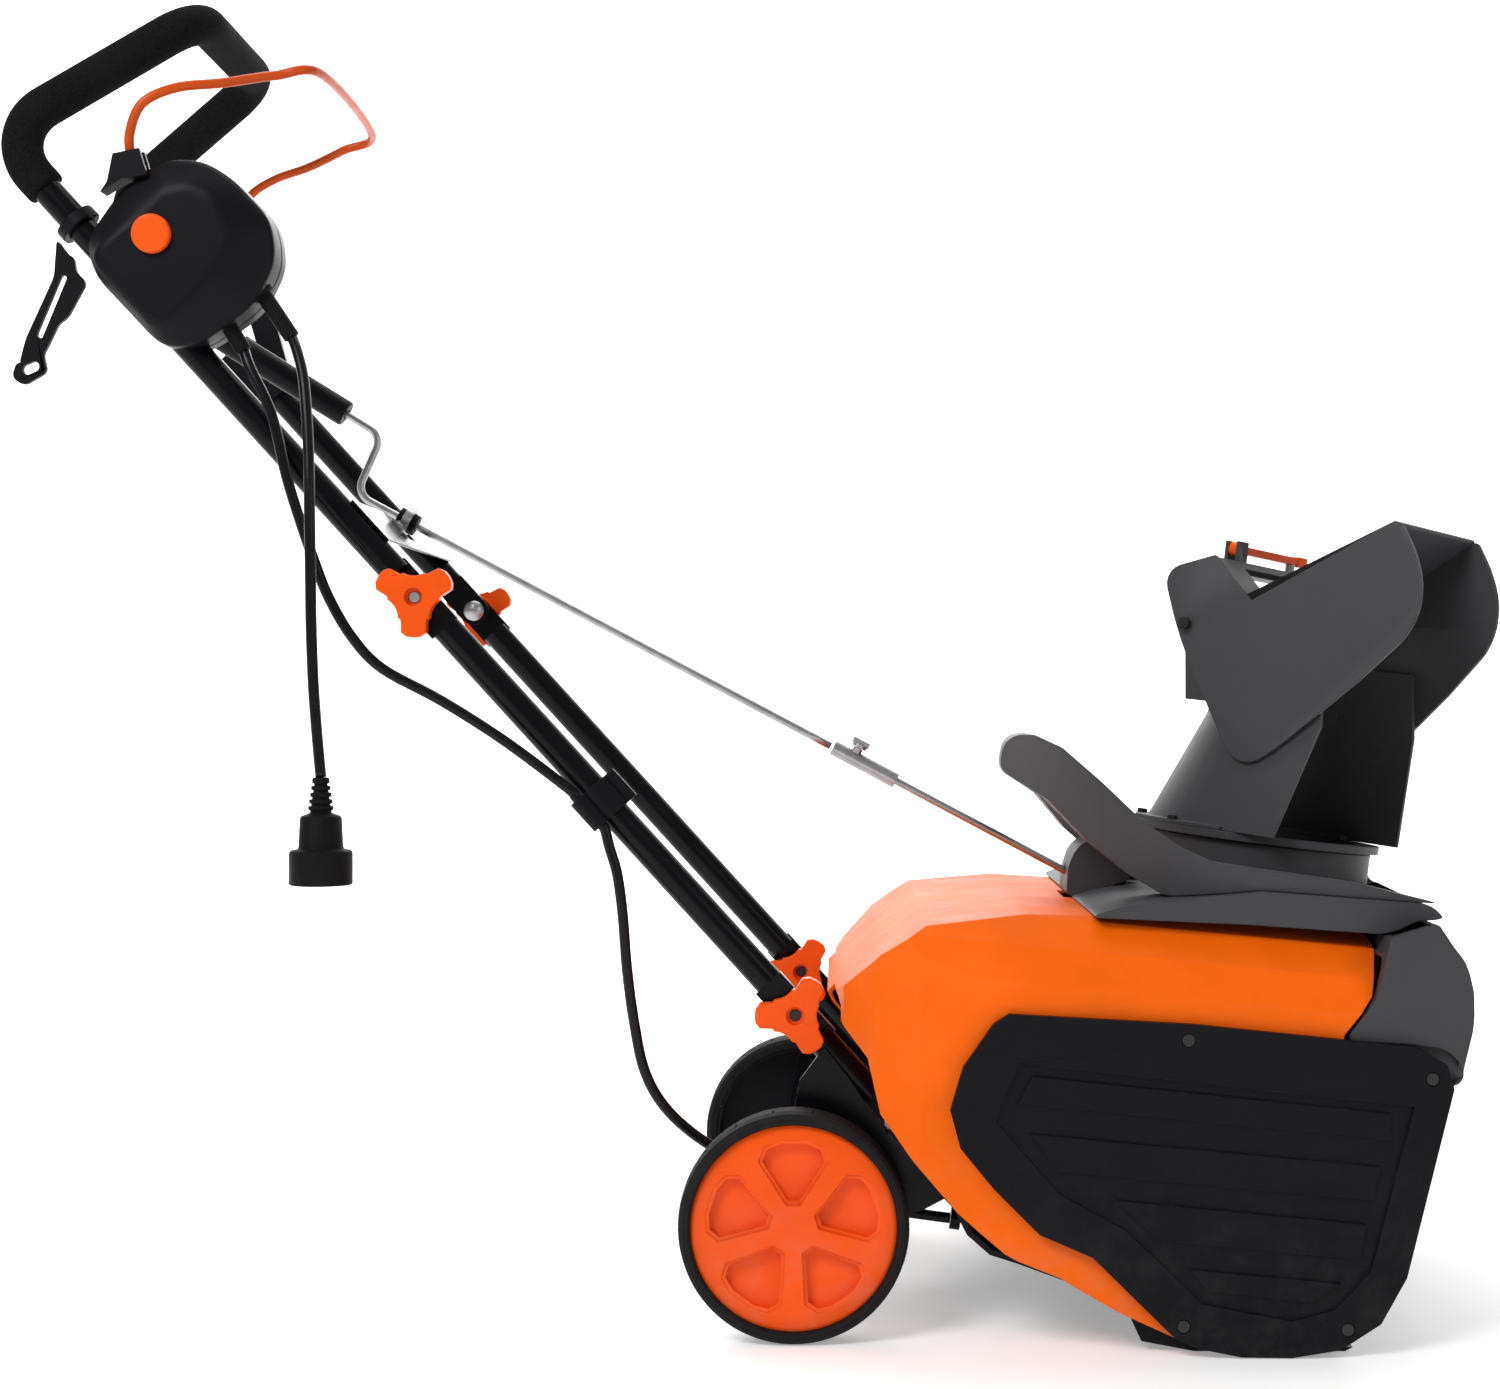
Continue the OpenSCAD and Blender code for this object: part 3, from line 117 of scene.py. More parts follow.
world = bpy.data.worlds.new("studio")
bpy.context.scene.world = world
world.use_nodes = True
AMBIENT_STRENGTH = 0.3
ambient = world.node_tree.nodes["Background"].inputs
ambient["Color"].default_value = (1, 1, 1, 1)
ambient["Strength"].default_value = AMBIENT_STRENGTH

# ---------------------------------------------------------------- materials


# Places of a colour Mix node's sockets, which share their names with its other types' sockets
MIX_COLOUR_A = 6
MIX_COLOUR_B = 7
MIX_COLOUR_OUT = 2


class Nodes:
    """Short names for building one material's node tree."""

    def __init__(self, name):
        self.mat = bpy.data.materials.new(name)
        self.mat.use_nodes = True
        self.tree = self.mat.node_tree
        self.shader = self.tree.nodes["Principled BSDF"]
        self.place = self.add("ShaderNodeTexCoord").outputs["Object"]

    def add(self, kind, **values):
        node = self.tree.nodes.new(kind)
        for key, value in values.items():
            if key in node.inputs:
                node.inputs[key].default_value = value
            else:
                setattr(node, key, value)
        return node

    def link(self, a, b):
        self.tree.links.new(a, b)

    def stretched(self, scale):
        mapping = self.add("ShaderNodeMapping")
        mapping.inputs["Scale"].default_value = scale
        self.link(self.place, mapping.inputs["Vector"])
        return mapping.outputs["Vector"]

    def noise(self, scale, detail=3.0, rough=0.5, vector=None):
        node = self.add("ShaderNodeTexNoise", Scale=scale, Detail=detail, Roughness=rough)
        self.link(vector or self.place, node.inputs["Vector"])
        return node.outputs["Fac"]

    def cells(self, scale):
        node = self.add("ShaderNodeTexVoronoi", Scale=scale)
        self.link(self.place, node.inputs["Vector"])
        return node.outputs["Distance"]

    def ramp(self, value, low, high, out_low=0.0, out_high=1.0):
        node = self.add("ShaderNodeMapRange")
        for key, number in (("From Min", low), ("From Max", high), ("To Min", out_low), ("To Max", out_high)):
            node.inputs[key].default_value = number
        self.link(value, node.inputs["Value"])
        return node.outputs["Result"]

    def mix(self, factor, a, b):
        """Colour a where factor is 0 and b where it is 1; a and b are colours or sockets."""
        node = self.add("ShaderNodeMix", data_type="RGBA")
        self.link(factor, node.inputs["Factor"])
        for index, value in ((MIX_COLOUR_A, a), (MIX_COLOUR_B, b)):
            if isinstance(value, bpy.types.NodeSocket):
                self.link(value, node.inputs[index])
            else:
                node.inputs[index].default_value = (*value, 1)
        return node.outputs[MIX_COLOUR_OUT]

    def math(self, operation, a, b):
        node = self.add("ShaderNodeMath", operation=operation)
        for index, value in ((0, a), (1, b)):
            if isinstance(value, bpy.types.NodeSocket):
                self.link(value, node.inputs[index])
            else:
                node.inputs[index].default_value = value
        return node.outputs[0]

    def edges(self, radius):
        """1 on convex and concave edges within radius, 0 on flats, and the rounded normal."""
        bevel = self.add("ShaderNodeBevel", samples=4)
        bevel.inputs["Radius"].default_value = radius
        normal = self.add("ShaderNodeNewGeometry").outputs["Normal"]
        dot = self.add("ShaderNodeVectorMath", operation="DOT_PRODUCT")
        self.link(bevel.outputs["Normal"], dot.inputs[0])
        self.link(normal, dot.inputs[1])
        return self.ramp(dot.outputs["Value"], low=0.995, high=0.86), bevel.outputs["Normal"]

    def bump(self, height, strength, distance, normal=None):
        node = self.add("ShaderNodeBump", Strength=strength, Distance=distance)
        self.link(height, node.inputs["Height"])
        if normal:
            self.link(normal, node.inputs["Normal"])
        return node.outputs["Normal"]

    def set(self, **sockets):
        names = {"color": "Base Color", "rough": "Roughness", "metal": "Metallic", "normal": "Normal",
                 "coat": "Coat Weight", "coat_rough": "Coat Roughness", "specular": "Specular IOR Level"}
        for key, value in sockets.items():
            socket = self.shader.inputs[names[key]]
            if isinstance(value, bpy.types.NodeSocket):
                self.link(value, socket)
            elif key == "color":
                socket.default_value = (*value, 1)
            else:
                socket.default_value = value
        return self.mat


def shade(colour, factor):
    """The colour made darker or lighter by factor."""
    return tuple(min(1.0, c * factor) for c in colour)


def moulded(name, colour, rough, worn, specular, grain, grain_depth=0.00006, dust=(0.32, 0.31, 0.3)):
    """Moulded plastic: fine stipple, soft flow marks, paler worn edges and a little dust low down."""
    n = Nodes(name)
    flow = n.noise(9, 4, 0.6)
    colour_a = n.mix(n.ramp(flow, 0.3, 0.7), shade(colour, 0.9), shade(colour, 1.08))
    edge, round_normal = n.edges(0.0012)
    scuffs = n.ramp(n.noise(60, 5, 0.7), 0.45, 0.75)
    colour_b = n.mix(n.math("MULTIPLY", n.math("MULTIPLY", edge, scuffs), 0.55), colour_a, worn)
    height = n.add("ShaderNodeSeparateXYZ")
    n.link(n.place, height.inputs[0])
    low = n.ramp(height.outputs["Z"], 0.16, 0.0)
    dusty = n.math("MULTIPLY", n.math("MULTIPLY", low, n.ramp(n.noise(35, 6, 0.7), 0.45, 0.8)), 0.22)
    colour_c = n.mix(dusty, colour_b, dust)
    stipple = n.noise(grain, 2, 0.5)
    roughness = n.ramp(n.noise(24, 5, 0.6), 0.25, 0.75, rough - 0.06, rough + 0.07)
    normal = n.bump(stipple, 0.35, grain_depth, round_normal)
    return n.set(color=colour_c, rough=roughness, normal=normal, specular=specular)


def painted(name, colour, rough, coat=0.0, worn=(0.16, 0.16, 0.17), specular=0.4):
    """Powder coat: orange peel, tiny chips on edges."""
    n = Nodes(name)
    tone = n.mix(n.ramp(n.noise(14, 4), 0.3, 0.7), shade(colour, 0.85), shade(colour, 1.15))
    edge, round_normal = n.edges(0.0008)
    chips = n.math("MULTIPLY", edge, n.ramp(n.noise(180, 4, 0.7), 0.58, 0.68))
    tone = n.mix(n.math("MULTIPLY", chips, 0.5), tone, worn)
    roughness = n.ramp(n.noise(40, 4), 0.25, 0.75, rough - 0.05, rough + 0.06)
    return n.set(color=tone, rough=roughness, coat=coat, coat_rough=0.16, specular=specular,
                 normal=n.bump(n.noise(260, 2), 0.3, 0.00005, round_normal))


def plated(name, colour, rough):
    """Zinc-plated or ground steel: drawn streaks and faint stains."""
    n = Nodes(name)
    lines = n.noise(1.0, 3, 0.6, n.stretched((40, 40, 900)))
    stain = n.ramp(n.noise(70, 5, 0.65), 0.35, 0.75)
    tone = n.mix(stain, shade(colour, 1.05), shade(colour, 0.72))
    edge, round_normal = n.edges(0.0006)
    tone = n.mix(n.math("MULTIPLY", edge, 0.4), tone, shade(colour, 1.35))
    roughness = n.ramp(lines, 0.3, 0.7, rough - 0.06, rough + 0.08)
    return n.set(color=tone, rough=roughness, metal=1.0, normal=n.bump(lines, 0.15, 0.00003, round_normal))


def rubbery(name, colour, rough, grain=600, depth=0.00008, pale=(0.05, 0.049, 0.047), specular=0.07):
    """Rubber or cable jacket: blotchy bloom and a fine matt grain."""
    n = Nodes(name)
    bloom = n.ramp(n.noise(45, 6, 0.7), 0.4, 0.8)
    edge, round_normal = n.edges(0.0009)
    tone = n.mix(n.math("MULTIPLY", bloom, 0.35), colour, shade(colour, 1.9))
    tone = n.mix(n.math("MULTIPLY", edge, 0.3), tone, pale)
    roughness = n.ramp(n.noise(80, 4), 0.25, 0.75, rough - 0.08, rough + 0.06)
    return n.set(color=tone, rough=roughness, specular=specular,
                 normal=n.bump(n.noise(grain, 3), 0.4, depth, round_normal))


def foam_material(name):
    """Closed-cell foam sleeve: small open cells in a soft matt skin."""
    n = Nodes(name)
    cell = n.cells(620)
    tone = n.mix(n.ramp(cell, 0.1, 0.55), (0.002, 0.002, 0.002), (0.008, 0.008, 0.0085))
    blotches = n.math("MULTIPLY", n.ramp(n.noise(30, 5), 0.45, 0.8), 0.4)
    tone = n.mix(blotches, tone, (0.014, 0.0135, 0.0135))
    height = n.math("ADD", cell, n.math("MULTIPLY", n.noise(160, 4), 0.6))
    return n.set(color=tone, rough=0.86, specular=0.05, normal=n.bump(height, 0.7, 0.0004))


MATERIALS = {
    "orange_plastic": moulded("shell_orange", (0.86, 0.125, 0.0015), 0.46, grain=1100,
                              worn=(1.0, 0.24, 0.04), specular=0.12),
    "orange_gloss": moulded("bright_orange", (0.84, 0.085, 0.002), 0.33, grain=500, grain_depth=0.00003,
                            worn=(1.0, 0.22, 0.04), specular=0.18),
    "orange_metal": painted("coated_orange_wire", (0.5, 0.06, 0.002), 0.3, worn=(0.6, 0.12, 0.03),
                            specular=0.2),
    "black_plastic": moulded("black_plastic", (0.0055, 0.0055, 0.0072), 0.4, grain=700, grain_depth=0.00008,
                             worn=(0.045, 0.045, 0.05), specular=0.1, dust=(0.08, 0.078, 0.075)),
    "charcoal_plastic": moulded("charcoal_plastic", (0.046, 0.046, 0.05), 0.5, grain=520,
                                grain_depth=0.00014, worn=(0.1, 0.1, 0.105), specular=0.25,
                                dust=(0.16, 0.157, 0.15)),
    "black_metal": painted("black_powder_coat", (0.003, 0.003, 0.004), 0.22, worn=(0.05, 0.05, 0.055),
                           specular=0.13),
    "grey_metal": painted("grey_paint", (0.17, 0.17, 0.175), 0.45, coat=0.1, worn=(0.4, 0.4, 0.4)),
    "motor_steel": painted("motor_paint", (0.1, 0.1, 0.11), 0.5),
    "zinc_steel": plated("zinc_plate", (0.42, 0.42, 0.43), 0.34),
    "bright_steel": plated("ground_steel", (0.66, 0.66, 0.68), 0.24),
    "cast_alloy": plated("cast_alloy", (0.5, 0.5, 0.52), 0.45),
    "rubber": rubbery("black_rubber", (0.006, 0.006, 0.0065), 0.55),
    "foam": foam_material("foam_sleeve"),
    "tyre": rubbery("tyre_rubber", (0.012, 0.012, 0.0125), 0.7, pale=(0.07, 0.068, 0.065)),
    "cable": rubbery("cable_jacket", (0.004, 0.004, 0.005), 0.3, grain=900, depth=0.00003,
                     specular=0.18),
    "black_screws": painted("black_oxide_screws", (0.012, 0.012, 0.013), 0.34, worn=(0.2, 0.2, 0.2)),
}


def floor_material():
    """Pale studio paper, lit a little from within so that it stays even into the distance."""
    n = Nodes("pale_floor")
    tone = n.mix(n.ramp(n.noise(3, 4), 0.3, 0.7), (0.9, 0.9, 0.895), (0.93, 0.93, 0.93))
    n.shader.inputs["Emission Color"].default_value = (1, 1, 1, 1)
    place = n.add("ShaderNodeSeparateXYZ")
    n.link(n.place, place.inputs[0])
    glow = n.ramp(place.outputs["Y"], low=0.3, high=2.6, out_low=0.3, out_high=1.0)
    n.link(glow, n.shader.inputs["Emission Strength"])
    return n.set(color=tone, rough=0.6, specular=0.2, normal=n.bump(n.noise(120, 3), 0.05, 0.0002))


# ---------------------------------------------------------------- mesh helpers


def new_object(name, mesh, slot, body, smooth=True):
    """A piece with the material of one of the record's slots; body is None where the piece is blended between
    two bodies.
    """
    piece = bpy.data.objects.new(name, mesh)
    bpy.context.scene.collection.objects.link(piece)
    mesh.materials.clear()
    mesh.materials.append(MATERIALS[slot])
    if smooth:
        mesh.polygons.foreach_set("use_smooth", [True] * len(mesh.polygons))
    if body:
        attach(piece, body)
    return piece


def mesh_from(name, points, faces):
    mesh = bpy.data.meshes.new(name)
    mesh.from_pydata([tuple(p) for p in points], [], faces)
    mesh.validate()
    mesh.update()
    return mesh


def ring_faces(rings, sides):
    """The quads between neighbouring rings of sides points each, and a cap on the first and last ring."""
    faces = [(i * sides + k, i * sides + (k + 1) % sides, (i + 1) * sides + (k + 1) % sides,
              (i + 1) * sides + k) for i in range(rings - 1) for k in range(sides)]
    faces.append(tuple(range(sides))[::-1])
    faces.append(tuple((rings - 1) * sides + k for k in range(sides)))
    return faces


def rings_along(path, radii, sides):
    """Rings of points round a path, their frames carried along it without twist."""
    count = len(path)
    ways = [(path[min(i + 1, count - 1)] - path[max(i - 1, 0)]).normalized() for i in range(count)]
    across = ways[0].cross(Vector((0, 1, 0)))
    if across.length < 0.1:
        across = ways[0].cross(Vector((1, 0, 0)))
    points = []
    for place, way, radius in zip(path, ways, radii):
        across = (across - way * across.dot(way)).normalized()
        up = way.cross(across)
        for k in range(sides):
            turn = 2 * math.pi * k / sides
            points.append(place + radius * (across * math.cos(turn) + up * math.sin(turn)))
    return points


def tube_mesh(name, path, radii, sides=20):
    """A closed round tube along path; radii is one number or one for each point."""
    if not hasattr(radii, "__len__"):
        radii = [radii] * len(path)
    return mesh_from(name, rings_along(path, radii, sides), ring_faces(len(path), sides))


def lathe_mesh(name, profile, base, axis, sides=48):
    """A round solid; profile is (radius, distance along axis) pairs from base."""
    axis = Vector(axis).normalized()
    path = [Vector(base) + axis * along for _, along in profile]
    helper = Vector((0, 1, 0)) if abs(axis.y) < 0.9 else Vector((1, 0, 0))
    across = axis.cross(helper).normalized()
    up = axis.cross(across)
    turns = [2 * math.pi * k / sides for k in range(sides)]
    points = [place + radius * (across * math.cos(turn) + up * math.sin(turn))
              for place, (radius, _) in zip(path, profile) for turn in turns]
    return mesh_from(name, points, ring_faces(len(profile), sides))


def bent_path(points, radius, steps):
    """Points joined by straight runs and round bends."""
    path = [points[0]]
    for before, corner, after in zip(points, points[1:], points[2:]):
        a = (corner - before).normalized()
        b = (after - corner).normalized()
        turn = a.angle(b)
        inward = (b - a * a.dot(b)).normalized()
        centre = corner - a * (radius * math.tan(turn / 2)) + inward * radius
        for k in range(steps + 1):
            part = turn * k / steps
            path.append(centre - inward * (radius * math.cos(part)) + a * (radius * math.sin(part)))
    return path + [points[-1]]


def smooth_route(points, steps):
    """A smooth curve through points, with steps places to each stretch between two of them."""
    route = []
    for i in range(len(points) - 1):
        a, b = points[max(i - 1, 0)], points[i]
        c, d = points[i + 1], points[min(i + 2, len(points) - 1)]
        for k in range(steps):
            t = k / steps
            route.append(0.5 * (2 * b + (c - a) * t + (2 * a - 5 * b + 4 * c - d) * t * t
                                + (3 * b - a - 3 * c + d) * t * t * t))
    return route + [points[-1]]


def merge(name, meshes):
    """One mesh from several."""
    whole = bmesh.new()
    for mesh in meshes:
        whole.from_mesh(mesh)
    mesh = bpy.data.meshes.new(name)
    whole.to_mesh(mesh)
    whole.free()
    return mesh


# Flats with raised pads and holes in them keep their triangles
PIERCED = ("side_cover_right", "side_cover_left")
# Nodes shown in another of the record's slots than their own
LOOKS = {"auger_housing": "charcoal_plastic", "cross_brace": "black_metal"}
BODY_OF = {node: body for body, nodes in frame["record"]["behaviour"]["bodies"].items() for node in nodes}


# How straight along the axis a corner's edge runs, and how far across it a neighbour leans, as cosines
ALONG = 0.995
ACROSS = 0.7
LEAST_CORNER = math.radians(4)
# The share of the shortest neighbouring edge that a rounded corner may take
ROOM_SHARE = 0.46
WELD_DISTANCE = 0.00002
FLAT_WITHIN = math.radians(0.6)
CORNER_SEGMENTS = 5


def mark_corners(work, axis, radius):
    """Marks the edges along axis to be rounded by radius, or by less where the next corner is near."""
    weights = work.edges.layers.float
    layer = weights.get("bevel_weight_edge") or weights.new("bevel_weight_edge")

    def way(edge):
        return (edge.verts[1].co - edge.verts[0].co).normalized()

    for edge in work.edges:
        if len(edge.link_faces) != 2 or abs(way(edge).dot(axis)) < ALONG:
            continue
        if edge.calc_face_angle(0) < LEAST_CORNER:
            continue
        room = [other.calc_length() for vert in edge.verts for other in vert.link_edges
                if abs(way(other).dot(axis)) < ACROSS and set(other.link_faces) & set(edge.link_faces)]
        edge[layer] = min(1.0, ROOM_SHARE * min(room, default=0) / radius)


def refine(node, width, angle, segments, corners=()):
    """A CAD node's shape with its points welded, and the edges sharper than angle rounded by width.

    corners is (radius, axes): the outline's own corners along those axes are rounded first."""
    mesh = NODES[node].data.copy()
    mesh.name = node + "_rounded"
    work = bmesh.new()
    work.from_mesh(mesh)
    bmesh.ops.remove_doubles(work, verts=work.verts, dist=WELD_DISTANCE)
    if node not in PIERCED:
        bmesh.ops.dissolve_limit(work, angle_limit=FLAT_WITHIN, verts=work.verts, edges=work.edges)
    if corners:
        for axis in corners[1]:
            mark_corners(work, axis, corners[0])
    work.to_mesh(mesh)
    work.free()
    slot = LOOKS.get(node, SLOT_OF[node])
    piece = new_object(node + "_rounded", mesh, slot, BODY_OF[node])
    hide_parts(node)
    if corners:
        outline = piece.modifiers.new("corners", "BEVEL")
        outline.width = corners[0]
        outline.segments = CORNER_SEGMENTS
        outline.limit_method = "WEIGHT"
        outline.use_clamp_overlap = False
    bevel = piece.modifiers.new("round", "BEVEL")
    bevel.width = width
    bevel.segments = segments
    bevel.limit_method = "ANGLE"
    bevel.angle_limit = math.radians(angle)
    bevel.use_clamp_overlap = True
    bevel.miter_outer = "MITER_ARC"
    normals = piece.modifiers.new("normals", "WEIGHTED_NORMAL")
    normals.keep_sharp = True


# ---------------------------------------------------------------- cords, first

CORD_R = 0.004
ROUTE_STEPS = 6
# The handle's legs run straight through both pivots: UP along them, OUT away from them, forward and up
UP = (Vector((-308, 0, 532)) - Vector((-31, 0, 228))).normalized()
OUT = Vector((UP.z, 0, -UP.x))
UPPER_PIVOT = side(-308, 0, 532)
LOWER_PIVOT = side(-31, 0, 228)
# The cable clip's middle: how far up from the lower pivot, how far behind the leg's axis, and its Y
CLIP_S = 0.210
CLIP_BEHIND = 0.012
CLIP_Y = -0.154


def on_upper(s, y):
    """A point s up the upper handle's legs from the pivot, and y to the left of the middle."""
    return UPPER_PIVOT + UP * s + Vector((0, y, 0))


def clip_at(s):
    """A point on the cable's way through its clip, s up from the clip's middle."""
    return LOWER_PIVOT + UP * (CLIP_S + s) - OUT * CLIP_BEHIND + Vector((0, CLIP_Y, 0))


pigtail_points = [side(*p) for p in (
    (-399, -152, 722), (-394, -158, 711), (-388, -166, 692), (-384, -174, 668), (-381, -181, 640),
    (-379, -187, 610), (-378, -190, 580), (-377.5, -190, 545), (-377, -190, 510), (-375.5, -190, 470),
    (-373, -190, 435), (-370, -190, 402))]
pigtail_route = smooth_route(pigtail_points, ROUTE_STEPS)
pigtail = new_object("pigtail_lead", tube_mesh("pigtail_lead", pigtail_route, CORD_R), "cable",
                     "handle_upper")
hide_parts("pigtail_cord")

PLUG_TOP = pigtail_points[-1]
RIBS = 5
FIRST_RIB = 0.0015
RIB_PITCH = 0.0048
FIRST_RIB_R = 0.0062
RIB_GROWTH = 0.0007
RIB_DEPTH = 0.0014
# The plug's outline from the cord down: a ribbed boot that widens, then the shell with its open mouth
boot = [(0.0042, 0.0), (0.0058, 0.0006)]
for rib in range(RIBS):
    start = FIRST_RIB + rib * RIB_PITCH
    radius = FIRST_RIB_R + rib * RIB_GROWTH
    boot += [(radius, start), (radius, start + 0.0026), (radius - RIB_DEPTH, start + 0.0031),
             (radius - RIB_DEPTH, start + 0.0044)]
boot += [(0.0098, 0.0262), (0.0138, 0.0276), (0.0148, 0.0292), (0.0158, 0.0495), (0.0165, 0.0512),
         (0.0212, 0.0522), (0.0222, 0.0532), (0.0225, 0.0548), (0.0225, 0.0755), (0.0222, 0.0765),
         (0.0212, 0.077), (0.0203, 0.0768), (0.0198, 0.0755), (0.0198, 0.063), (0.001, 0.062)]
plug_body = lathe_mesh("plug_body", boot, PLUG_TOP, (0, 0, -1))
plug_piece = new_object("mains_plug", plug_body, "rubber", "handle_upper")
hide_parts("plug")
BLADE_SIZE = (0.0062, 0.0015, 0.0145)
BLADE_Y = 0.0063
BLADE_BACK = 0.001
PIN_R = 0.0024
PIN_FRONT = 0.0075
BLADE_DROP = 0.069
blade_work = bmesh.new()
for offset in (-BLADE_Y, BLADE_Y):
    place = Matrix.Translation(PLUG_TOP + Vector((-BLADE_BACK, offset, -BLADE_DROP)))
    bmesh.ops.create_cube(blade_work, size=1, matrix=place @ Matrix.Diagonal((*BLADE_SIZE, 1)))
bmesh.ops.bevel(blade_work, geom=blade_work.edges[:], offset=0.0005, segments=2, affect="EDGES")
bmesh.ops.create_cone(blade_work, cap_ends=True, segments=24, radius1=PIN_R, radius2=PIN_R,
                      depth=BLADE_SIZE[2],
                      matrix=Matrix.Translation(PLUG_TOP + Vector((PIN_FRONT, 0, -BLADE_DROP))))
blade_mesh = bpy.data.meshes.new("plug_blades")
blade_work.to_mesh(blade_mesh)
blade_work.free()
blades = new_object("plug_blades", blade_mesh, "bright_steel", "handle_upper", smooth=False)

cable_up_points = [side(*p) for p in (
    (-434, -152, 712), (-428, -157, 698), (-412, -161, 665), (-401, -162, 620), (-390, -163, 585),
    (-381, -164, 560), (-370, -164, 532), (-353, -164, 503), (-331, -163, 480), (-289, -161, 457),
    (-244, -157, 428))] + [clip_at(s * MM) for s in (24, 16, 8, 0.1)]
cable_low_points = [clip_at(s * MM) for s in (-0.1, -8, -16)] + [side(*p) for p in (
    (-167, -154.5, 350), (-161, -156, 330), (-157, -156, 300), (-154, -154, 260), (-149, -150, 220),
    (-142, -144, 185), (-128, -138, 158), (-104, -130, 134), (-70, -120, 112), (-34, -112, 98),
    (2, -106, 84), (40, -100, 74), (70, -96, 68.5), (84, -95, 66.5))]
cable_up_mesh = tube_mesh("cable_up", smooth_route(cable_up_points, ROUTE_STEPS), CORD_R)
cable_up = new_object("motor_cable_upper_run", cable_up_mesh, "cable", None)
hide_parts("motor_cable_upper")
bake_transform(cable_up, "handle_upper", "handle_lower", start=tuple(side(-381, -164, 575)),
         end=tuple(side(-289, -161, 457)))
cable_low_mesh = tube_mesh("cable_low", smooth_route(cable_low_points, ROUTE_STEPS), CORD_R)
cable_low = new_object("motor_cable_lower_run", cable_low_mesh, "cable", None)
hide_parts("motor_cable_lower")
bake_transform(cable_low, "handle_lower", "housing", start=tuple(side(-157, -156, 300)),
         end=tuple(side(-34, -112, 98)))

# ---------------------------------------------------------------- handle pieces

TUBE_Y = 0.141
GRIP_HALF = 0.097
GRIP_TOP = side(-482, 0, 971)
FOAM_R = 0.015
FOAM_START_S = 0.406
FOAM_BEND_S = 0.461
FOAM_BEND_R = 0.037
foam_corners = [on_upper(FOAM_START_S, -TUBE_Y), on_upper(FOAM_BEND_S, -TUBE_Y),
                GRIP_TOP + Vector((0, -GRIP_HALF, 0)), GRIP_TOP + Vector((0, GRIP_HALF, 0)),
                on_upper(FOAM_BEND_S, TUBE_Y), on_upper(FOAM_START_S, TUBE_Y)]


def dense(path, step):
    """The path with points no further apart than step."""
    out = [path[0]]
    for a, b in zip(path, path[1:]):
        parts = max(1, math.ceil((b - a).length / step))
        out += [a.lerp(b, k / parts) for k in range(1, parts + 1)]
    return out


foam_path = dense(bent_path(foam_corners, FOAM_BEND_R, 14), 0.006)
foam_radii = [FOAM_R] * len(foam_path)
# The sleeve's ends are rounded: the radius of the outer rings, and how close to the end each is drawn
for index, (radius, share) in enumerate(((0.0128, 0.0), (0.0143, 0.15), (0.0149, 0.3))):
    foam_radii[index] = radius
    foam_radii[-1 - index] = radius
    foam_path[index] = foam_path[0].lerp(foam_path[index], share)
    foam_path[-1 - index] = foam_path[-1].lerp(foam_path[-1 - index], share)
foam = new_object("foam_sleeve", tube_mesh("foam_sleeve", foam_path, foam_radii, 32), "foam",
                  "handle_upper")
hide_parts("foam_grip")

BAIL_PIVOT = side(-512.6, 0, 845)
bail_half = [side(*p) for p in ((-513, -165, 851.2), (-514, -165, 868), (-505, -165, 890), (-482, -159, 903),
                                (-451, -145, 910), (-418, -126, 920), (-388, -99, 927.6))]
bail_corners = bail_half + [Vector((p.x, -p.y, p.z)) for p in reversed(bail_half)]
BAIL_Y = 0.165
BAIL_WIRE_R = 0.0036
EYE_BORE_R = 0.00256
EYE_R = 0.007
EYE_WIDTH = 0.008
EYE_CHAMFER = 0.0012
eye_profile = [(EYE_BORE_R, 0.0), (EYE_R - EYE_CHAMFER, 0.0), (EYE_R, EYE_CHAMFER),
               (EYE_R, EYE_WIDTH - EYE_CHAMFER), (EYE_R - EYE_CHAMFER, EYE_WIDTH),
               (EYE_BORE_R, EYE_WIDTH), (EYE_BORE_R, 0.0)]
bail_parts = [tube_mesh("bail_wire", dense(smooth_route(bail_corners, 8), 0.006), BAIL_WIRE_R, 20)]
for y in (-BAIL_Y, BAIL_Y):
    base = BAIL_PIVOT + Vector((0, y - EYE_WIDTH / 2, 0))
    bail_parts.append(lathe_mesh("bail_eye", eye_profile, base, (0, 1, 0), 40))
bail_piece = new_object("bail_wire", merge("bail_wire", bail_parts), "orange_metal", "stop_bail")
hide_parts("bail")

ROD_R = 0.003
CRANK_BEND_R = 0.013
ROD_START_X = -382
ROD_END_X = 178
rod_start = side(ROD_START_X, 0, 620)
rod_end = side(ROD_END_X, 0, 322.6)


def on_rod(x):
    """The point of the crank rod's line at x mm from the datum."""
    return rod_start.lerp(rod_end, (x - ROD_START_X) / (ROD_END_X - ROD_START_X))


crank_corners = [side(-497, 0, 749.5), side(-361.5, 0, 666), rod_start, on_rod(-5.8)]
crank_route = dense(bent_path(crank_corners, CRANK_BEND_R, 12), 0.02)
crank_rod = new_object("upper_crank", tube_mesh("upper_crank", crank_route, ROD_R, 24), "zinc_steel",
                       "crank_upper")
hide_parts("upper_crank_rod")

# ---------------------------------------------------------------- switch box

BOX_CENTRE = (-478, 786)
BOX_STEPS = 160


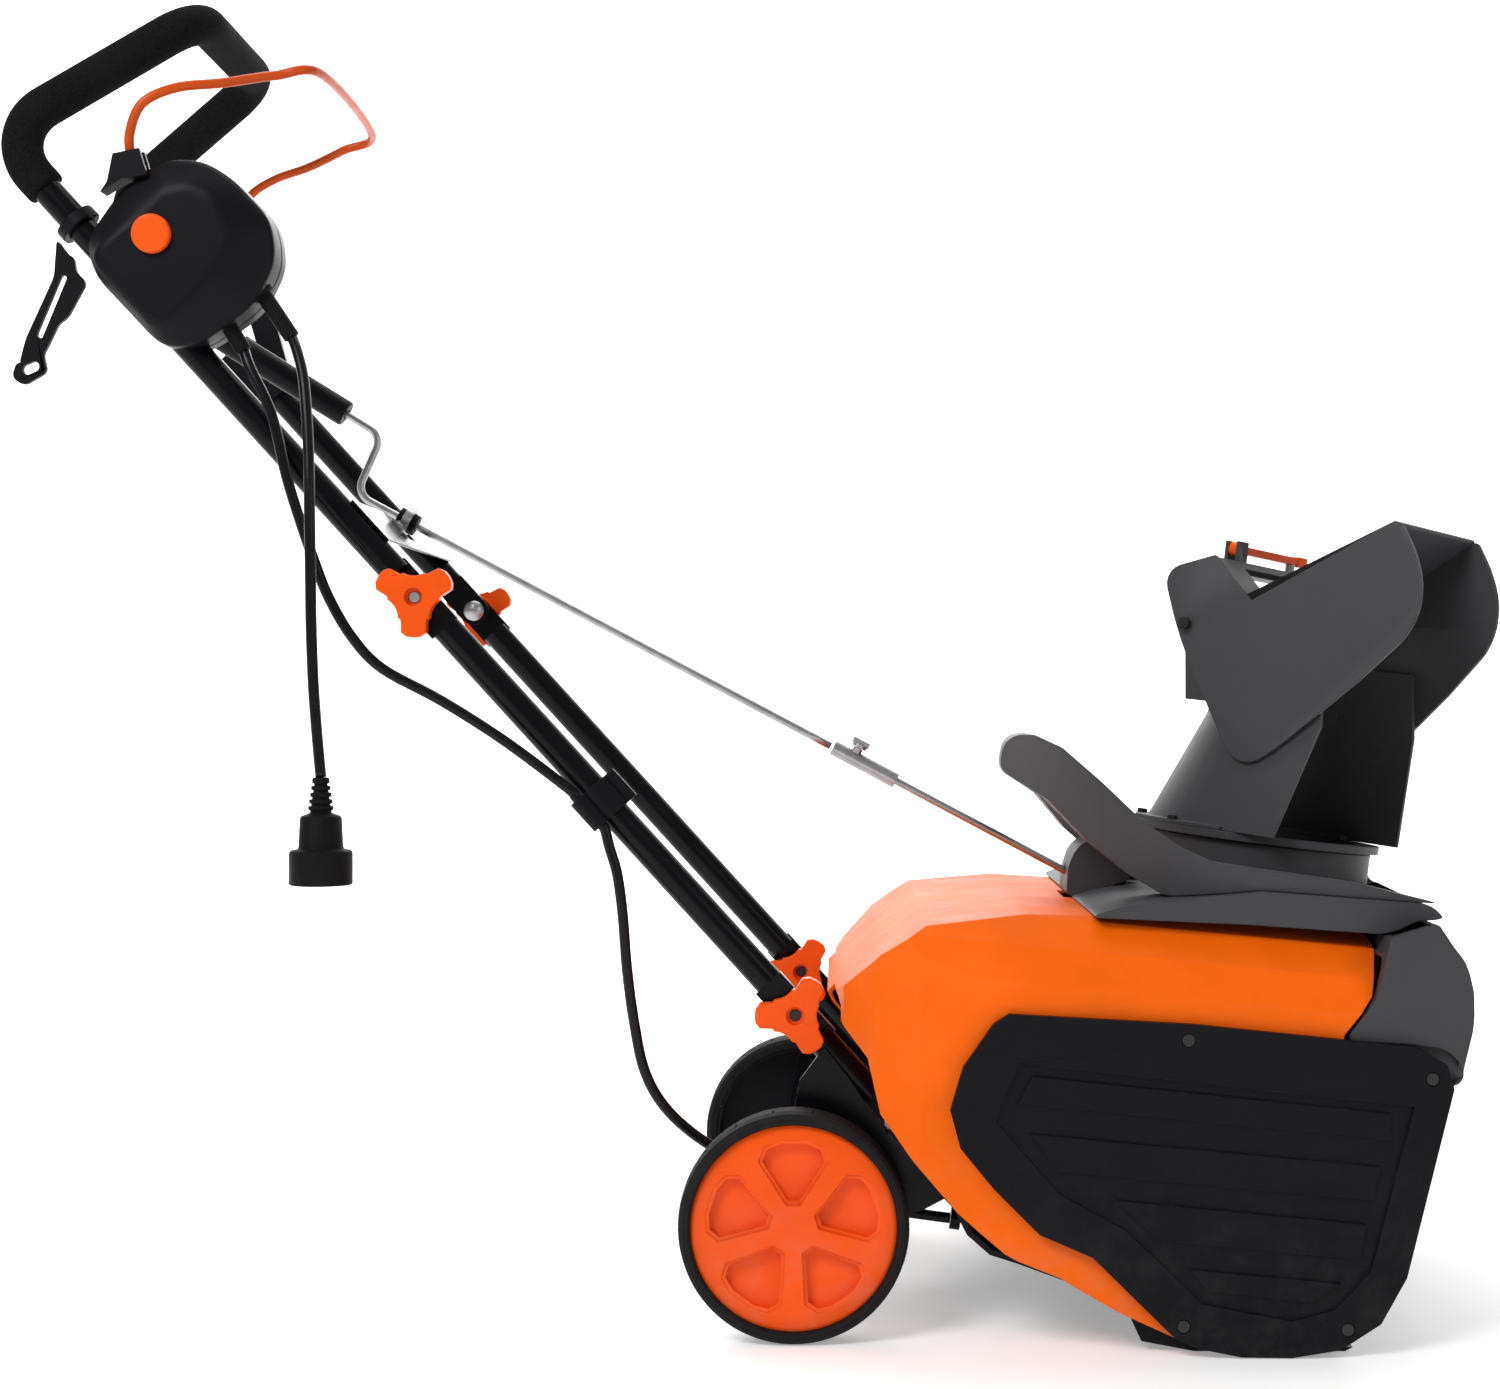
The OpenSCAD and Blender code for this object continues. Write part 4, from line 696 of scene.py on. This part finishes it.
def reach(outline, turn):
    """How far the outline lies from the box's centre in the direction turn."""
    way = Vector((math.cos(turn), math.sin(turn)))
    best = 0.0
    for a, b in zip(outline, outline[1:] + outline[:1]):
        p, side_way = Vector(a) - Vector(BOX_CENTRE), Vector(b) - Vector(a)
        across = way.cross(side_way)
        if abs(across) > 1e-9:
            along, share = p.cross(side_way) / across, p.cross(way) / across
            if -1e-9 <= share <= 1 + 1e-9:
                best = max(best, along)
    return best


def soft_ring(outline, blur):
    """Distances in mm round the outline, with its corners blurred."""
    ring = [reach(outline, 2 * math.pi * k / BOX_STEPS) for k in range(BOX_STEPS)]
    for _ in range(2):
        ring = [sum(ring[(k + j) % BOX_STEPS] for j in range(-blur, blur + 1)) / (2 * blur + 1)
                for k in range(BOX_STEPS)]
    return ring


BOX_BLUR = 3
# The box's outline at its outer faces and where it is widest
BOX_FACE = soft_ring([(-541, 777), (-488, 720), (-449, 760), (-433, 790), (-448, 823), (-466, 831),
                      (-487, 828)], BOX_BLUR)
BOX_MID = soft_ring([(-546, 790), (-538, 764), (-489, 712), (-462, 716), (-424, 744), (-408, 776),
                     (-412, 806), (-440, 836), (-462, 849), (-490, 849), (-520, 828)], BOX_BLUR)


def box_half(node, levels):
    """Half of the switch box; a level is y in mm, the share of the way to the widest ring, and an inset."""
    points = []
    for y, share, inset in levels:
        for k, (face, mid) in enumerate(zip(BOX_FACE, BOX_MID)):
            radius = face + (mid - face) * share - inset
            turn = 2 * math.pi * k / BOX_STEPS
            points.append(side(BOX_CENTRE[0] + radius * math.cos(turn), y,
                               BOX_CENTRE[1] + radius * math.sin(turn)))
    shell = mesh_from(node + "_shell", points, ring_faces(len(levels), BOX_STEPS))
    half = new_object(node + "_shell", shell, "black_plastic", "handle_upper")
    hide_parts(node)
    normals = half.modifiers.new("normals", "WEIGHTED_NORMAL")
    normals.keep_sharp = True


box_half("switch_box_outer", [
    (-180, 0, 9), (-179.8, 0, 6), (-179.1, 0, 3), (-178, 0.06, 1.2), (-176, 0.2, 0.3), (-172, 0.5, 0),
    (-168.5, 0.8, 0.2), (-166, 0.96, 0), (-163, 1, 0), (-142.5, 1, 0), (-141.6, 1, 0.2), (-141.2, 1, 0.8)])
box_half("switch_box_inner", [
    (-140.8, 1, 0.8), (-140.4, 1, 0.2), (-139.5, 1, 0), (-127, 1, 0), (-122, 0.8, 0), (-112, 0.2, 0),
    (-109, 0.05, 1.2), (-108, 0, 3.5), (-107.6, 0, 7)])


# ---------------------------------------------------------------- rounded CAD shapes

# Each node's rounding: its width in metres, the least angle in degrees that is rounded, and its segments
ROUNDED = {
    "motor_shroud": (0.006, 9, 4),
    "auger_housing": (0.0012, 28, 2),
    "side_cover_right": (0.0018, 28, 3),
    "side_cover_left": (0.0018, 28, 3),
    "carry_handle": (0.004, 24, 3),
    "chute_collar": (0.0015, 28, 2),
    "chute_body": (0.0008, 35, 2),
    "chute_hood": (0.0009, 35, 2),
    "wheel_right": (0.0011, 30, 2),
    "wheel_left": (0.0011, 30, 2),
    "lock_button": (0.0022, 30, 4),
    "crank_grip": (0.0022, 30, 3),
    "latch_lever": (0.0012, 30, 2),
    "cord_hook": (0.0009, 30, 2),
    "cable_clip": (0.001, 30, 2),
    "bail_mounts": (0.0009, 30, 2),
    "cross_brace": (0.0008, 30, 2),
    "rod_coupler": (0.0008, 30, 2),
    "thumb_screw": (0.0006, 30, 2),
    "cord_glands": (0.0012, 30, 3),
    "wheel_brackets": (0.0008, 30, 2),
    "scraper_bar": (0.0008, 30, 2),
    "base_pan": (0.0008, 30, 2),
    "housing_fasteners": (0.0006, 30, 2),
    "pivot_bolts": (0.0006, 30, 2),
    "knob_upper_right": (0.0016, 30, 3),
    "knob_upper_left": (0.0016, 30, 3),
    "knob_lower_right": (0.0016, 30, 3),
    "knob_lower_left": (0.0016, 30, 3),
}
Y_AXIS = Vector((0, 1, 0))


def wide_ways(node, count):
    """The directions that most of a node's flat area faces."""
    totals = []
    for face in NODES[node].data.polygons:
        for entry in totals:
            if abs(entry[0].dot(face.normal)) > 0.999:
                entry[1] += face.area
                break
        else:
            totals.append([face.normal.copy(), face.area])
    return [way for way, _ in sorted(totals, key=lambda entry: -entry[1])[:count]]


DARK_SCREWS = ("housing_fasteners", "chute_screws")
# The radius of the outline's corners, and the axes that they run along
CORNERS = {
    "chute_hood": (0.016, wide_ways("chute_hood", 2)),
    "carry_handle": (0.012, [Y_AXIS]),
    "auger_housing": (0.008, [Y_AXIS]),
    "chute_collar": (0.01, [Y_AXIS]),
    "cord_hook": (0.004, [Y_AXIS]),
}
for node, (width, angle, segments) in ROUNDED.items():
    refine(node, width, angle, segments, CORNERS.get(node, ()))

for node, piece in NODES.items():
    piece.data.materials.clear()
    piece.data.materials.append(MATERIALS[LOOKS.get(node, SLOT_OF[node])])
for node in DARK_SCREWS:
    for name in (node, node + "_rounded"):
        if name in bpy.data.objects:
            piece = bpy.data.objects[name]
            piece.data.materials.clear()
            piece.data.materials.append(MATERIALS["black_screws"])

# ---------------------------------------------------------------- floor

FLOOR_HALF = 9.0
SWEEP_START = 2.2
SWEEP_R = 1.6
WALL_TOP = 6.0
# The paper's profile as (Y, Z): flat, a quarter turn, then straight up
sweep = [(-FLOOR_HALF, 0.0)]
sweep += [(SWEEP_START + SWEEP_R * math.sin(math.radians(a)), SWEEP_R * (1 - math.cos(math.radians(a))))
          for a in range(0, 91, 6)]
sweep.append((SWEEP_START + SWEEP_R, WALL_TOP))
floor_points = [Vector((x, y, z)) for y, z in sweep for x in (-FLOOR_HALF, FLOOR_HALF)]
floor_faces = [(2 * i, 2 * i + 1, 2 * i + 3, 2 * i + 2) for i in range(len(sweep) - 1)]
floor = bpy.data.objects.new("floor", mesh_from("floor", floor_points, floor_faces))
floor.data.polygons.foreach_set("use_smooth", [True] * len(floor.data.polygons))
floor.data.materials.append(floor_material())
bpy.context.scene.collection.objects.link(floor)

# Only each wheel's outer 12.5 mm stays orange; the faces deeper in get black plastic, painted shade standing
# in for the dark inside of the far wheel
ORANGE_FACE_DEPTH = 0.0125
for node in ("wheel_right", "wheel_left"):
    cap = bpy.data.objects[node + "_rounded"]
    low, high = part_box(node)
    outer = max(abs(low.y), abs(high.y))
    # A second, black material for the faces deeper in: painted shade for the inside of the wheel
    cap.data.materials.append(MATERIALS["black_plastic"])
    for face in cap.data.polygons:
        if abs(face.center.y) < outer - ORANGE_FACE_DEPTH:
            face.material_index = 1
